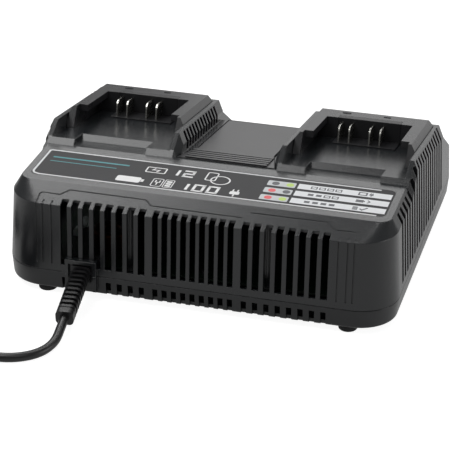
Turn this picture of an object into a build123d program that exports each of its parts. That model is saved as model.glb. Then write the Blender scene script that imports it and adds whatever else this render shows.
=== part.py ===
from build123d import *
import os
from math import cos, pi, radians, sin, tan

# Twin dock power tool battery charger: millimetres, +Z up, front at -Y.
# Origin: bottom centre, on the surface that the rubber feet stand on.

os.makedirs("parts", exist_ok=True)

# ---------------------------------------------------------------- driving dimensions

width = 261.0  # across the side walls at the parting line
depth = 228.8  # cord boss to rear wall at the parting line
wall = 2.2  # moulded wall thickness
foot_height = 4.6  # rubber foot standing out of the base
parting_z = 18.1  # joint of base and top shell
bend_z = 64.8  # top of the upright walls
deck_z = 72.8  # level deck that carries the label
side_draft = 3.3  # degrees
front_draft = 1.1  # degrees
front_radius = 27.0  # upright front corners
rear_radius = 6.0  # upright rear corners
deck_corner_radius = 8.0
front_chamfer_run = 18.4
side_chamfer_run = 4.8
fit_gap = 0.3  # general clearance between separate pieces

# the top slopes down to the rear behind the label, and the docks follow it
top_slope = 9.15  # degrees
frame_lift = 2.5  # origin of the sloping frame over the surface under the feet
channel_level = 63.8  # height of the sloping channel floor, square to the slope
panel_proud = 0.5  # centre panel over the channel floor
centre_rear_slope = 30.0  # degrees, behind the centre panel
dock_rear_fall = 23.8  # degrees from the sloping frame, behind the docks
rear_step_w = 69.2  # foot of the upright step behind each dock
panel_rear_v = 71.6
panel_front_v = -42.6
panel_half_width = 26.7
panel_flare_v = -13.0
panel_flare_half = 33.8
panel_thickness = 1.7
louvres = 6
louvre_pitch = 2.5
louvre_first_v = -40.8
louvre_half = 25.5
louvre_width = 1.0
louvre_depth = 0.6

# docks, measured in the sloping frame: u across, v along, w square to the slope
dock_spacing = 160.0
tower_half = 47.7
ledge_half = 44.3
ledge_w = 77.6
shoulder_drop = 7.6
ledge_rear_v = 73.6
rear_fall_run = 14.0  # hollow part of the slope behind each dock
wing_top_v = -31.2
block_front_v = -42.2
block_top_w = 68.4
block_inner_half = 25.1
lip_front_v = -26.1
floor_w = 67.8
floor_thickness = 2.5
well_half = 41.2
well_rear_v = 68.8
hollow_front_v = -24.0

# rail collars
rim_w = 82.2
rim_half = 38.05
seam_half = 40.9
rim_rear_v = 65.6
collar_rear_v = 68.5
rail_half = 30.06
channel_half = 36.0
rail_w = 77.4
rail_front_v = -1.5
cavity_rear_v = 44.1
pillar_top_v = -7.5
pillar_foot_v = -14.0

# terminals
blade_shift = -4.2
blade_offsets = (-14.4, -7.1, 7.1, 14.4)
blade_thickness = 1.0
blade_front_v = 30.0
blade_top_w = 79.6
blade_foot_gap = 0.1
blade_root_v = 53.4
blade_tail_width = 3.0
blade_tail_w = 59.0
blade_nose_radius = 3.6
blade_slit_gap = 0.05
block_half = 22.0
block_depth = 7.0
block_plate_v = 26.0  # front of the thin plate that the blades stand in
block_plate = 0.9
lens_places = ((-19.0, 6.2, 3.6), (9.7, 5.2, 2.4))  # u, length, width
lens_v = 59.2
lens_proud = 0.25
rim_plate = 2.6
led_board_thickness = 1.2
led_board_half = 26.0
led_board_depth = 9.0
lead_radius = 1.2

# ventilation slots
slot_bottom_z = 22.9
middle_slot_width = 3.8
middle_slots = 9
middle_pitch = 6.23
outer_slot_width = 4.5
outer_slots = 8
outer_pitch = 7.45
outer_first_x = 34.1
slot_chamfer_run = 5.6
side_slot_width = 4.8
side_slots = 18
side_pitch = 8.63
side_first_y = -73.3
dock_slot_width = 4.4
dock_slots = 12
dock_slot_pitch = 7.0
dock_slot_first_v = -20.4
rear_slot_width = 4.0
rear_slots = 17
rear_slot_pitch = 7.45
rear_slot_top_z = 31.1
blind_groove_x = (94.5, 100.5, 104.7)
blind_groove_width = 0.9
blind_groove_depth = 0.7
step_groove_width = 0.7
step_groove_depth = 0.5
# each line on the front chamfer as x and height up the chamfer
step_lines = (
    ((-104.6, 0.6), (-104.7, 8.5), (-103.0, 9.7), (-91.4, 9.4), (-86.0, 14.3), (-34.7, 13.9),
     (-30.1, 9.5), (30.7, 9.2)),
    ((34.7, 14.2), (84.5, 14.4), (90.1, 9.0), (102.9, 9.0), (104.9, 7.5), (105.0, 0.9)),
)
skirt_slot_width = 3.5
skirt_slot_depth = 3.4
skirt_slot_top_z = 13.9

# label recess
label_front_y = -84.8
label_rear_y = -44.5
label_half = 118.0
label_thickness = 0.5
label_corner = 4.0

# base
base_inset = 1.2
base_edge_radius = 2.0
base_thickness = 2.5
seam_groove = 0.5
foot_radius = 6.2
foot_x = 101.0
foot_y = 102.5
foot_seat = 1.0

# circuit board
board_thickness = 1.6
board_z = 12.6
board_half_x = 112.0
board_front_y = -88.0
board_rear_y = 92.0
board_post_radius = 3.6
board_posts = ((-104.0, -80.0), (-104.0, 80.0), (0.0, -80.0), (0.0, 80.0), (92.0, -80.0), (92.0, 80.0))
board_notch_x = 99.0
board_notch_y = 31.0
screw_radius = 1.4
screw_head_radius = 2.7
screw_head_height = 1.9

# housing screws and posts
post_radius = 4.4
post_bore = 1.7
post_places = ((-118.0, -84.0), (-118.0, 60.0), (118.0, -84.0), (118.0, 60.0), (-46.0, -96.0), (46.0, -96.0))
post_bore_depth = 18.0
housing_screw_radius = 1.5
housing_screw_head = 3.0
housing_screw_length = 24.0
screw_well_radius = 3.3
screw_well_z = 9.6

# USB socket on the board's left edge
usb_y = 84.0
usb_width = 13.2
usb_height = 5.8
usb_depth = 14.0
usb_inset = 1.6
usb_shell = 0.4
usb_tab_half = 8.0

# power parts on the board
core_size = (42.0, 15.0, 34.0)
core_place = (-12.0, 6.0)
core_leg = 12.0
core_yoke = 6.5
winding_gap = 0.4
winding_thick = 7.5
capacitor_radius = 11.0
capacitor_height = 33.0
capacitor_places = ((-76.0, -18.0), (-50.0, -18.0))
sink_length = 62.0
sink_height = 32.0
sink_base = 3.0
sink_fins = 6
sink_fin_reach = 11.0
sink_fin_thick = 1.4
sink_places = ((-52.0, 34.0), (44.0, 34.0))
transistor_size = (10.0, 4.5, 15.5)
choke_radius = 12.5
choke_bore = 5.5
choke_height = 13.0
choke_place = (-72.0, -58.0)
fuse_radius = 2.6
fuse_length = 20.0
fuse_cap = 5.0
fuse_place = (-98.0, -42.0)

# cooling fan
fan_size = 50.0
fan_depth = 15.0
fan_x = 121.2
fan_y = 0.0
fan_bottom_z = 10.0
fan_bore = 23.6
fan_corner = 3.0
fan_motor_radius = 10.0
fan_shaft_radius = 1.5
fan_shaft_clearance = 0.05
fan_hub_radius = 11.0
fan_blades = 7
fan_blade_thickness = 1.3
fan_blade_pitch = 38.0
fan_tip_gap = 0.9
fan_spoke = 2.4
cradle_thickness = 2.0
cradle_top_z = 24.0

# mains lead
cord_diameter = 6.0
cord_exit_x = -74.5
guard_neck_radius = 4.4
guard_flange = 13.0
guard_flange_thickness = 2.2
guard_radius = 6.0
guard_end_radius = 5.8
guard_core_radius = 3.6
guard_length = 45.0
guard_ribs = 9
guard_rib_width = 2.1
guard_sleeve = 5.0
guard_tail_radius = 3.6
guard_droop = 10.4
guard_swing = 5.2
boss_half = 10.6
boss_height = 10.2
boss_proud = 2.4
boss_window_half = 8.2
boss_window_height = 7.6
clamp_y = -100.5
clamp_width = 5.0
clamp_length = 24.0
clamp_height = 6.0
clamp_screw_x = 8.2
clamp_screw_radius = 1.4
clamp_screw_length = 12.0
coil_turns_wide = 4
coil_turns_high = 2
coil_mean_radius = 33.0
coil_centre = (-163.0, -158.0)
coil_stub = 26.0
plug_y = -90.0
plug_guard_length = 12.0
plug_length = 36.0
plug_width = 26.0
plug_height = 14.0
plug_pin_radius = 2.0
plug_pin_length = 19.0
plug_pin_spacing = 18.6
plug_sleeve_length = 10.0


# ---------------------------------------------------------------- worked out from these

slope = radians(top_slope)
dock_x = dock_spacing / 2
sides = {"left": -dock_x, "right": dock_x}
body_depth = depth - boss_proud
body_y = boss_proud / 2
front_y = body_y - body_depth / 2
back_y = body_y + body_depth / 2
bend_half_x = width / 2 - tan(radians(side_draft)) * (bend_z - parting_z)
bend_half_y = body_depth / 2 - tan(radians(front_draft)) * (bend_z - parting_z)
deck_half_x = bend_half_x - side_chamfer_run
deck_front_y = body_y - bend_half_y + front_chamfer_run
deck_back_y = body_y + bend_half_y
bend_front_y = body_y - bend_half_y
inner_floor_z = foot_height + base_thickness
board_top_z = board_z + board_thickness
across_dir = (0, cos(slope), -sin(slope))
up_dir = (0, sin(slope), cos(slope))
hollow_half = tower_half - wall
tail_front_v = blade_root_v - blade_tail_width
coil_outer_turn = coil_mean_radius + (coil_turns_wide - 1) * cord_diameter / 2
shoulder_inner_w = ledge_w - shoulder_drop - 0.4
wing_inner_half = well_half + 1.8
shoulder_slant = shoulder_drop / (tower_half - ledge_half)


def yz_of(v, w):
    """Sloping-frame v and w as the part's y and z."""
    return v * cos(slope) + w * sin(slope), w * cos(slope) - v * sin(slope) + frame_lift


def slope_plane(w, x=0.0):
    """Plane of the slope at height w: sketch x is u, sketch y is v."""
    y, z = yz_of(0, w)
    return Plane(origin=(x, y, z), x_dir=(1, 0, 0), z_dir=up_dir)


def cross_plane(v, x=0.0):
    """Plane square to v: sketch x is u, sketch y is w. It extrudes towards the front."""
    y, z = yz_of(v, 0)
    return Plane(origin=(x, y, z), x_dir=(1, 0, 0), z_dir=tuple(-c for c in across_dir))


def side_plane(x):
    """Plane square to X: sketch x is v, sketch y is w. It extrudes towards +X."""
    return Plane(origin=(x, 0, frame_lift), x_dir=across_dir, z_dir=(1, 0, 0))


def flat_side(x):
    """Plane square to X: sketch x is y, sketch y is z. It extrudes towards +X."""
    return Plane(origin=(x, 0, 0), x_dir=(0, 1, 0), z_dir=(1, 0, 0))


def flat_cross(y):
    """Plane square to Y: sketch x is x, sketch y is z. It extrudes towards the front."""
    return Plane(origin=(0, y, 0), x_dir=(1, 0, 0), z_dir=(0, -1, 0))


wing_y, wing_z = yz_of(wing_top_v, ledge_w)
nose_y, nose_z = yz_of(block_front_v, block_top_w)
panel_back_y, panel_back_z = yz_of(panel_rear_v, channel_level)


def edge_height(y):
    """Height at depth y of the edge where the top meets the side chamfer."""
    ledge = (ledge_w - y * sin(slope)) / cos(slope) + frame_lift
    wing = nose_z + (y - nose_y) * (wing_z - nose_z) / (wing_y - nose_y)
    return max(deck_z, min(ledge, wing))


def panel_outline(gap):
    """Outline of the centre panel in u and v: straight sides that flare out to the front."""
    half, flare = panel_half_width + gap, panel_flare_half + gap
    return ((-flare, panel_front_v), (flare, panel_front_v), (half, panel_flare_v),
            (half, panel_rear_v + gap), (-half, panel_rear_v + gap), (-half, panel_flare_v))


def post_roof(px, py):
    """Height inside the roof that a screw post at px, py runs up into."""
    if py > 0:
        return (floor_w - floor_thickness - py * sin(slope)) / cos(slope) + frame_lift + 0.8
    if abs(px) > dock_x:
        return deck_z - wall + 0.8
    return bend_z + (py - bend_front_y) * (deck_z - bend_z) / front_chamfer_run - wall + 0.4


def plan_outline(side_inset, end_inset, round_less):
    """Body seen from above, drawn in by the insets: wide front corners, tight rear corners."""
    with BuildSketch() as plan:
        with Locations((0, body_y)):
            Rectangle(width - 2 * side_inset, body_depth - 2 * end_inset)
        fillet(plan.vertices().group_by(Axis.Y)[0], radius=front_radius - round_less)
        fillet(plan.vertices().group_by(Axis.Y)[-1], radius=rear_radius - round_less)
    return plan.sketch


def walls_form(inset, top):
    """Drafted upright walls with round corners, from the parting line up to height top."""
    rise = top - parting_z
    with BuildPart() as form:
        with BuildSketch(Plane.XY.offset(parting_z)):
            add(plan_outline(inset, inset, inset))
        with BuildSketch(Plane.XY.offset(top)):
            add(plan_outline(inset + tan(radians(side_draft)) * rise,
                             inset + tan(radians(front_draft)) * rise, inset))
        loft(ruled=True)
    return form.part


def rear_cut(inset):
    """Everything behind and over the stepped rear of the docks, taken in by the inset."""
    fall = tan(radians(dock_rear_fall))
    lower = rear_step_w - inset / cos(radians(dock_rear_fall))
    reach = 60
    with BuildPart() as cut:
        with BuildSketch(side_plane(-width)):
            Polygon((ledge_rear_v - inset, lower + inset * fall), (ledge_rear_v + reach, lower - reach * fall),
                    (ledge_rear_v + reach, 130), (ledge_rear_v - inset, 130))
        extrude(amount=2 * width)
    return cut.part


def deck_form(inset):
    """Body under the deck: upright walls, gentle chamfers and deck, without the docks."""
    top = deck_z - inset
    bend = bend_z - inset * 0.4
    bend_outline = plan_outline(width / 2 - bend_half_x + inset, body_depth / 2 - bend_half_y + inset,
                                inset + 1.0)
    with BuildPart() as form:
        with BuildSketch(Plane.XY.offset(parting_z)):
            add(plan_outline(inset, inset, inset))
        with BuildSketch(Plane.XY.offset(bend)):
            add(bend_outline)
        loft(ruled=True)
        with BuildSketch(Plane.XY.offset(bend)):
            add(bend_outline)
        with BuildSketch(Plane.XY.offset(top)):
            with Locations((0, (deck_back_y + deck_front_y) / 2)):
                RectangleRounded(2 * (deck_half_x - inset * 0.8), deck_back_y - deck_front_y - inset,
                                 deck_corner_radius)
        loft(ruled=True)
        # the channel between the docks slopes down to the rear
        with BuildSketch(side_plane(-width / 2 - 1)):
            Polygon((-60, channel_level - inset), (200, channel_level - inset), (200, 140), (-60, 140))
        extrude(amount=width + 2, mode=Mode.SUBTRACT)
        # behind the centre panel it drops more steeply
        with BuildSketch(flat_side(-tower_half)):
            Polygon((panel_back_y, panel_back_z - inset),
                    (panel_back_y + 80, panel_back_z - inset - tan(radians(centre_rear_slope)) * 80),
                    (panel_back_y + 80, 100), (panel_back_y, 100))
        extrude(amount=2 * tower_half, mode=Mode.SUBTRACT)
        add(rear_cut(inset), mode=Mode.SUBTRACT)
    return form.part


def tower_form(x):
    """Dock tower about x: level ledge, slanted shoulders and slanted wings at the front."""
    below = 13.5
    profile = (
        (block_front_v - below * 0.74, block_top_w - below),
        (block_front_v, block_top_w),
        (wing_top_v, ledge_w),
        (ledge_rear_v + 30, ledge_w),
    )
    deep = 32.0
    reach = 4.5
    with BuildPart() as form:
        for u, drop in (
            (-tower_half - reach, shoulder_drop + shoulder_slant * reach),
            (-ledge_half, 0.0),
            (ledge_half, 0.0),
            (tower_half + reach, shoulder_drop + shoulder_slant * reach),
        ):
            with BuildSketch(side_plane(x + u)):
                Polygon(*[(v, w - drop) for v, w in profile],
                        (profile[-1][0], deep), (profile[0][0], deep))
        loft(ruled=True)
        # under its shoulder the inner side stands upright
        inner = -1 if x > 0 else 1
        with BuildSketch(cross_plane(ledge_rear_v + 40, x)):
            with Locations((inner * (tower_half + 10), 60)):
                Rectangle(20, 120)
        extrude(amount=180, mode=Mode.SUBTRACT)
        add(rear_cut(0.0), mode=Mode.SUBTRACT)
        add(walls_form(0.0, rim_w + 15), mode=Mode.INTERSECT)
    return form.part


def tower_hollow(x):
    """Space inside a dock tower: below the floor and beside the well."""
    outer = hollow_half + 6
    reach_out = (-hollow_half, outer) if x > 0 else (-outer, hollow_half)
    slab_low = channel_level - 10
    with BuildPart() as hollow:
        # below the dock floor
        with BuildSketch(cross_plane(ledge_rear_v + rear_fall_run, x)):
            Polygon((reach_out[0], slab_low), (reach_out[1], slab_low),
                    (reach_out[1], floor_w - floor_thickness), (reach_out[0], floor_w - floor_thickness))
        extrude(amount=ledge_rear_v + rear_fall_run - hollow_front_v)
        # beside the well, inside the shoulders
        with BuildSketch(cross_plane(well_rear_v, x)):
            Polygon((-hollow_half, floor_w), (hollow_half, floor_w),
                    (hollow_half, shoulder_inner_w), (well_half, ledge_w - 0.7), (-well_half, ledge_w - 0.7),
                    (-hollow_half, shoulder_inner_w))
        extrude(amount=well_rear_v - pillar_foot_v - 1)
        with BuildSketch(cross_plane(pillar_foot_v + 1, x)):
            for side in (-1, 1):
                Polygon((side * wing_inner_half, floor_w), (side * hollow_half, floor_w),
                        (side * hollow_half, shoulder_inner_w), (side * wing_inner_half, shoulder_inner_w + 4))
        extrude(amount=pillar_foot_v + 1 - hollow_front_v)
        add(rear_cut(wall), mode=Mode.SUBTRACT)
        add(walls_form(wall, rim_w + 15), mode=Mode.INTERSECT)
    return hollow.part


middle_slot_xs = [middle_pitch * (i - (middle_slots - 1) / 2) for i in range(middle_slots)]
outer_slot_xs = [side * (outer_first_x + outer_pitch * i) for side in (-1, 1) for i in range(outer_slots)]
side_slot_ys = [side_first_y + side_pitch * i for i in range(side_slots)]
dock_slot_vs = [dock_slot_first_v + dock_slot_pitch * i for i in range(dock_slots)]
rear_slot_xs = [rear_slot_pitch * (i - (rear_slots - 1) / 2) for i in range(rear_slots)]
chamfer_rise = (deck_z - bend_z) / front_chamfer_run

outer_deck = deck_form(0.0)
inner_deck = deck_form(wall)
towers = [tower_form(x) for x in sides.values()]
hollows = [tower_hollow(x) for x in sides.values()]

# ---------------------------------------------------------------- top shell

with BuildPart() as upper_housing:
    add(outer_deck)
    for tower in towers:
        add(tower)
    add(inner_deck, mode=Mode.SUBTRACT)
    # open well in each tower, for the rail collar
    for x in sides.values():
        with BuildSketch(cross_plane(well_rear_v, x)):
            with Locations((0, floor_w + 20)):
                Rectangle(2 * well_half, 40)
        extrude(amount=well_rear_v + 90, mode=Mode.SUBTRACT)
    for hollow in hollows:
        add(hollow, mode=Mode.SUBTRACT)
    for x in sides.values():
        # entry lip between the two blocks, its face at 45 degrees
        with BuildSketch(side_plane(x - block_inner_half)):
            lip_foot = floor_w - channel_level
            Polygon((lip_front_v, floor_w), (lip_front_v - lip_foot * 0.8, channel_level), (-90, channel_level),
                    (-90, floor_w + 1), (lip_front_v, floor_w + 1))
        extrude(amount=2 * block_inner_half, mode=Mode.SUBTRACT)
        # window in the floor for the blade tails
        with BuildSketch(slope_plane(floor_w - floor_thickness - 1, x)):
            with Locations((blade_shift, (tail_front_v + blade_root_v) / 2)):
                Rectangle(2 * blade_offsets[-1] + 5, blade_root_v - tail_front_v + 1.6)
        extrude(amount=floor_thickness + 2, mode=Mode.SUBTRACT)
    # front slots, up through the foot of the chamfer
    for xs, slot_width in ((middle_slot_xs, middle_slot_width), (outer_slot_xs, outer_slot_width)):
        with BuildSketch(*[flat_side(x - slot_width / 2) for x in xs]):
            Polygon((front_y - 4, slot_bottom_z), (front_y + wall + 1.4, slot_bottom_z),
                    (front_y + wall + 1.4, bend_z - 4), (bend_front_y + slot_chamfer_run, bend_z - 1),
                    (bend_front_y + slot_chamfer_run, bend_z + 5), (front_y - 4, bend_z + 5))
        extrude(amount=slot_width, mode=Mode.SUBTRACT)
    # blind grooves outside the end slots
    with BuildSketch(*[flat_side(side * x - blind_groove_width / 2)
                       for side in (-1, 1) for x in blind_groove_x]):
        Polygon((front_y - 4, slot_bottom_z), (front_y + blind_groove_depth, slot_bottom_z),
                (bend_front_y + blind_groove_depth, bend_z - blind_groove_depth * 0.3),
                (bend_front_y + slot_chamfer_run * 0.6, bend_z - blind_groove_depth
                 + chamfer_rise * slot_chamfer_run * 0.6),
                (bend_front_y + slot_chamfer_run * 0.6, bend_z + 5), (front_y - 4, bend_z + 5))
    extrude(amount=blind_groove_width, mode=Mode.SUBTRACT)
    # stepped line along the front chamfer
    chamfer_up = Vector(0, deck_front_y - bend_front_y, deck_z - bend_z).normalized()
    chamfer_plane = Plane(origin=(0, bend_front_y, bend_z), x_dir=(1, 0, 0),
                          z_dir=(0, -chamfer_up.Z, chamfer_up.Y))
    with BuildSketch(chamfer_plane.offset(-step_groove_depth)):
        for line in step_lines:
            with BuildLine():
                Polyline(*line)
            trace(line_width=step_groove_width)
    extrude(amount=step_groove_depth + 1, mode=Mode.SUBTRACT)
    # side slots, over the shoulders
    for side in (-1, 1):
        for y in side_slot_ys:
            top = edge_height(y) - 1.0
            outer_x = side * (width / 2 + 6)
            wall_x = side * (width / 2 - wall - 3.1)
            edge_x = side * (dock_x + ledge_half)
            with BuildSketch(flat_cross(y + side_slot_width / 2)):
                Polygon((wall_x, slot_bottom_z), (outer_x, slot_bottom_z), (outer_x, top),
                        (edge_x + side * 0.3, top), (edge_x - side * 0.6, top - 1.6),
                        (edge_x - side * 0.6, top - 3.0), (wall_x, top - 7.0))
    extrude(amount=side_slot_width, mode=Mode.SUBTRACT)
    # slots in the inner side of each tower
    for x in sides.values():
        inner = -1 if x > 0 else 1
        for v in dock_slot_vs:
            reach = wing_inner_half + 0.3 if v < pillar_foot_v + 4 else well_half + 0.6
            with BuildSketch(cross_plane(v + dock_slot_width / 2, x)):
                Polygon((inner * reach, ledge_w - 1.0), (inner * (tower_half + 3), ledge_w - 1.0),
                        (inner * (tower_half + 3), channel_level + 0.7), (inner * (hollow_half - 0.3),
                                                                          channel_level + 0.7),
                        (inner * (hollow_half - 0.3), floor_w + 0.2), (inner * reach, floor_w + 0.2))
    extrude(amount=dock_slot_width, mode=Mode.SUBTRACT)
    # rear slots under the steep end of the channel
    with BuildSketch(*[flat_side(x - rear_slot_width / 2) for x in rear_slot_xs]):
        Polygon((back_y - wall - 2, slot_bottom_z), (back_y + 4, slot_bottom_z), (back_y + 4, rear_slot_top_z),
                (back_y - wall - 2, rear_slot_top_z))
    extrude(amount=rear_slot_width, mode=Mode.SUBTRACT)
    # recess for the label
    with BuildSketch(Plane.XY.offset(deck_z - label_thickness)):
        with Locations((0, (label_front_y + label_rear_y) / 2)):
            RectangleRounded(2 * label_half + fit_gap, label_rear_y - label_front_y + fit_gap, label_corner)
    extrude(amount=label_thickness + 2, mode=Mode.SUBTRACT)
    # recess for the centre panel
    with BuildSketch(slope_plane(channel_level + panel_proud - panel_thickness)):
        Polygon(*panel_outline(fit_gap / 2))
    extrude(amount=panel_thickness + 1, mode=Mode.SUBTRACT)
    # boss round the cord guard
    with BuildSketch(Plane.XY.offset(parting_z)):
        with Locations((cord_exit_x, front_y + (wall - boss_proud) / 2)):
            Rectangle(2 * boss_half, wall + boss_proud)
    extrude(amount=boss_height)
    with BuildSketch(Plane.XY.offset(parting_z)):
        with Locations((cord_exit_x, front_y - boss_proud / 2)):
            Rectangle(2 * boss_window_half, boss_proud)
    extrude(amount=boss_window_height, mode=Mode.SUBTRACT)
    with BuildSketch(flat_cross(front_y + wall + 2)):
        with Locations((cord_exit_x, parting_z)):
            Circle(guard_neck_radius + fit_gap)
    extrude(amount=wall + boss_proud + 4, mode=Mode.SUBTRACT)
    # screw posts hanging from the roof
    for px, py in post_places:
        with BuildSketch(Plane.XY.offset(parting_z)):
            with Locations((px, py)):
                Circle(post_radius)
        extrude(amount=post_roof(px, py) - parting_z)
    for px, py in post_places:
        with BuildSketch(Plane.XY.offset(parting_z)):
            with Locations((px, py)):
                Circle(post_bore)
        extrude(amount=post_bore_depth, mode=Mode.SUBTRACT)
    # window for the USB socket
    with BuildSketch(flat_side(-width / 2 - 3)):
        with Locations((usb_y, board_top_z + usb_height / 2)):
            Rectangle(usb_width + fit_gap, usb_height + fit_gap)
    extrude(amount=6, mode=Mode.SUBTRACT)
upper_housing.part.label = "upper_housing"
export_step(upper_housing.part, "parts/upper_housing.step")

# ---------------------------------------------------------------- base

with BuildPart() as lower_housing:
    with BuildSketch(Plane.XY.offset(foot_height)):
        add(plan_outline(base_inset, base_inset, base_inset))
    with BuildSketch(Plane.XY.offset(parting_z)):
        add(plan_outline(0, 0, 0))
    loft(ruled=True)
    fillet(lower_housing.edges().group_by(Axis.Z)[0], radius=base_edge_radius)
    with BuildSketch(Plane.XY.offset(inner_floor_z)):
        add(plan_outline(wall + base_inset, wall + base_inset, wall + base_inset))
    with BuildSketch(Plane.XY.offset(parting_z)):
        add(plan_outline(wall, wall, wall))
    loft(ruled=True, mode=Mode.SUBTRACT)
    # shadow groove at the parting line
    with BuildSketch(Plane.XY.offset(parting_z - seam_groove)):
        with Locations((0, body_y)):
            Rectangle(width + 2, body_depth + 2)
        add(plan_outline(seam_groove, seam_groove, seam_groove), mode=Mode.SUBTRACT)
    extrude(amount=seam_groove, mode=Mode.SUBTRACT)
    # skirt slots under the front slots, open at the lower edge
    with BuildSketch(*[flat_side(x - skirt_slot_width / 2) for x in middle_slot_xs + outer_slot_xs
                       if abs(x - cord_exit_x) > boss_half]):
        Polygon((front_y - 4, foot_height - 1), (front_y + skirt_slot_depth, foot_height - 1),
                (front_y + skirt_slot_depth, inner_floor_z + 0.3), (front_y + wall + 2.2, inner_floor_z + 0.3),
                (front_y + wall + 2.2, skirt_slot_top_z), (front_y - 4, skirt_slot_top_z))
    extrude(amount=skirt_slot_width, mode=Mode.SUBTRACT)
    # boss round the cord guard, with a window open to the front
    boss_foot_z = foot_height + base_edge_radius + 0.6
    with BuildSketch(Plane.XY.offset(boss_foot_z)):
        with Locations((cord_exit_x, front_y + (wall + 1.4 - boss_proud) / 2)):
            Rectangle(2 * boss_half, wall + 1.4 + boss_proud)
    extrude(amount=parting_z - boss_foot_z)
    with BuildSketch(Plane.XY.offset(foot_height)):
        with Locations((cord_exit_x, front_y - boss_proud / 2)):
            Rectangle(2 * boss_window_half, boss_proud)
    extrude(amount=parting_z - foot_height, mode=Mode.SUBTRACT)
    with BuildSketch(flat_cross(front_y + wall + 4)):
        with Locations((cord_exit_x, parting_z)):
            Circle(guard_neck_radius + fit_gap)
    extrude(amount=wall + boss_proud + 6, mode=Mode.SUBTRACT)
    # saddle under the cord clamp
    with BuildSketch(Plane.XY.offset(inner_floor_z)):
        with Locations((cord_exit_x, clamp_y)):
            Rectangle(clamp_length, clamp_width)
    extrude(amount=parting_z - inner_floor_z)
    with BuildSketch(flat_cross(clamp_y + clamp_width / 2)):
        with Locations((cord_exit_x, parting_z)):
            Circle(guard_tail_radius + fit_gap / 3)
    extrude(amount=clamp_width, mode=Mode.SUBTRACT)
    with BuildSketch(Plane.XY.offset(parting_z - clamp_screw_length + 3)):
        with Locations(*[(cord_exit_x + side * clamp_screw_x, clamp_y) for side in (-1, 1)]):
            Circle(clamp_screw_radius + 0.1)
    extrude(amount=clamp_screw_length, mode=Mode.SUBTRACT)
    # posts for the board
    with BuildSketch(Plane.XY.offset(inner_floor_z - 0.5)):
        with Locations(*board_posts):
            Circle(board_post_radius)
    extrude(amount=board_z - inner_floor_z + 0.5)
    with BuildSketch(Plane.XY.offset(inner_floor_z + 0.6)):
        with Locations(*board_posts):
            Circle(screw_radius + 0.1)
    extrude(amount=board_z, mode=Mode.SUBTRACT)
    # posts for the housing screws, open from below
    with BuildSketch(Plane.XY.offset(inner_floor_z - 0.5)):
        with Locations(*post_places):
            Circle(post_radius + 1.2)
    extrude(amount=parting_z - inner_floor_z + 0.5)
    with BuildSketch(Plane.XY.offset(foot_height - 1)):
        with Locations(*post_places):
            Circle(screw_well_radius)
    extrude(amount=screw_well_z - foot_height + 1, mode=Mode.SUBTRACT)
    with BuildSketch(Plane.XY.offset(foot_height - 1)):
        with Locations(*post_places):
            Circle(post_bore)
    extrude(amount=parting_z, mode=Mode.SUBTRACT)
    # cradle for the fan
    with BuildSketch(Plane.XY.offset(inner_floor_z - 0.5)):
        with Locations((fan_x - fan_depth / 2, fan_y)):
            Rectangle(fan_depth + 2 * cradle_thickness, fan_size + 2 * (fit_gap + cradle_thickness))
    extrude(amount=cradle_top_z - inner_floor_z + 0.5)
    with BuildSketch(Plane.XY.offset(fan_bottom_z)):
        with Locations((fan_x - fan_depth / 2, fan_y)):
            Rectangle(fan_depth + 2 * fit_gap, fan_size + 2 * fit_gap)
    extrude(amount=cradle_top_z, mode=Mode.SUBTRACT)
    with BuildSketch(Plane.XY.offset(fan_bottom_z)):
        with Locations((fan_x - fan_depth / 2, fan_y)):
            Rectangle(fan_depth + 3 * cradle_thickness, fan_size - 8)
    extrude(amount=cradle_top_z, mode=Mode.SUBTRACT)
    # seats for the feet
    with BuildSketch(Plane.XY.offset(foot_height - 1)):
        with GridLocations(2 * foot_x, 2 * foot_y, 2, 2):
            Circle(foot_radius + fit_gap / 2)
    extrude(amount=foot_seat + 1, mode=Mode.SUBTRACT)
    # notch for the USB socket
    with BuildSketch(flat_side(-width / 2 - 3)):
        with Locations((usb_y, board_top_z + usb_height / 2)):
            Rectangle(usb_width + fit_gap, usb_height + fit_gap)
    extrude(amount=6, mode=Mode.SUBTRACT)
lower_housing.part.label = "lower_housing"
export_step(lower_housing.part, "parts/lower_housing.step")

with BuildPart() as rubber_feet:
    with BuildSketch(Plane.XY):
        with GridLocations(2 * foot_x, 2 * foot_y, 2, 2):
            Circle(foot_radius)
    extrude(amount=foot_height + foot_seat)
    fillet(rubber_feet.edges().group_by(Axis.Z)[0], radius=1.4)
rubber_feet.part.label = "rubber_feet"
export_step(rubber_feet.part, "parts/rubber_feet.step")

with BuildPart() as housing_screws:
    with BuildSketch(Plane.XY.offset(screw_well_z - screw_head_height)):
        with Locations(*post_places):
            Circle(housing_screw_head)
    extrude(amount=screw_head_height)
    with BuildSketch(Plane.XY.offset(screw_well_z)):
        with Locations(*post_places):
            Circle(housing_screw_radius)
    extrude(amount=housing_screw_length)
    with BuildSketch(Plane.XY.offset(screw_well_z - screw_head_height)):
        with Locations(*post_places):
            Rectangle(3.4, 0.9)
            Rectangle(0.9, 3.4)
    extrude(amount=0.9, mode=Mode.SUBTRACT)
housing_screws.part.label = "housing_screws"
export_step(housing_screws.part, "parts/housing_screws.step")

# ---------------------------------------------------------------- centre panel and label

with BuildPart() as centre_panel:
    with BuildSketch(slope_plane(channel_level + panel_proud - panel_thickness)):
        Polygon(*panel_outline(-fit_gap / 2))
    extrude(amount=panel_thickness)
    for i in range(louvres):
        v = louvre_first_v + louvre_pitch * i
        with BuildSketch(slope_plane(channel_level + panel_proud - louvre_depth)):
            with Locations((0, v)):
                Rectangle(2 * louvre_half, louvre_width)
        extrude(amount=louvre_depth, mode=Mode.SUBTRACT)
centre_panel.part.label = "centre_panel"
export_step(centre_panel.part, "parts/centre_panel.step")

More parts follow.
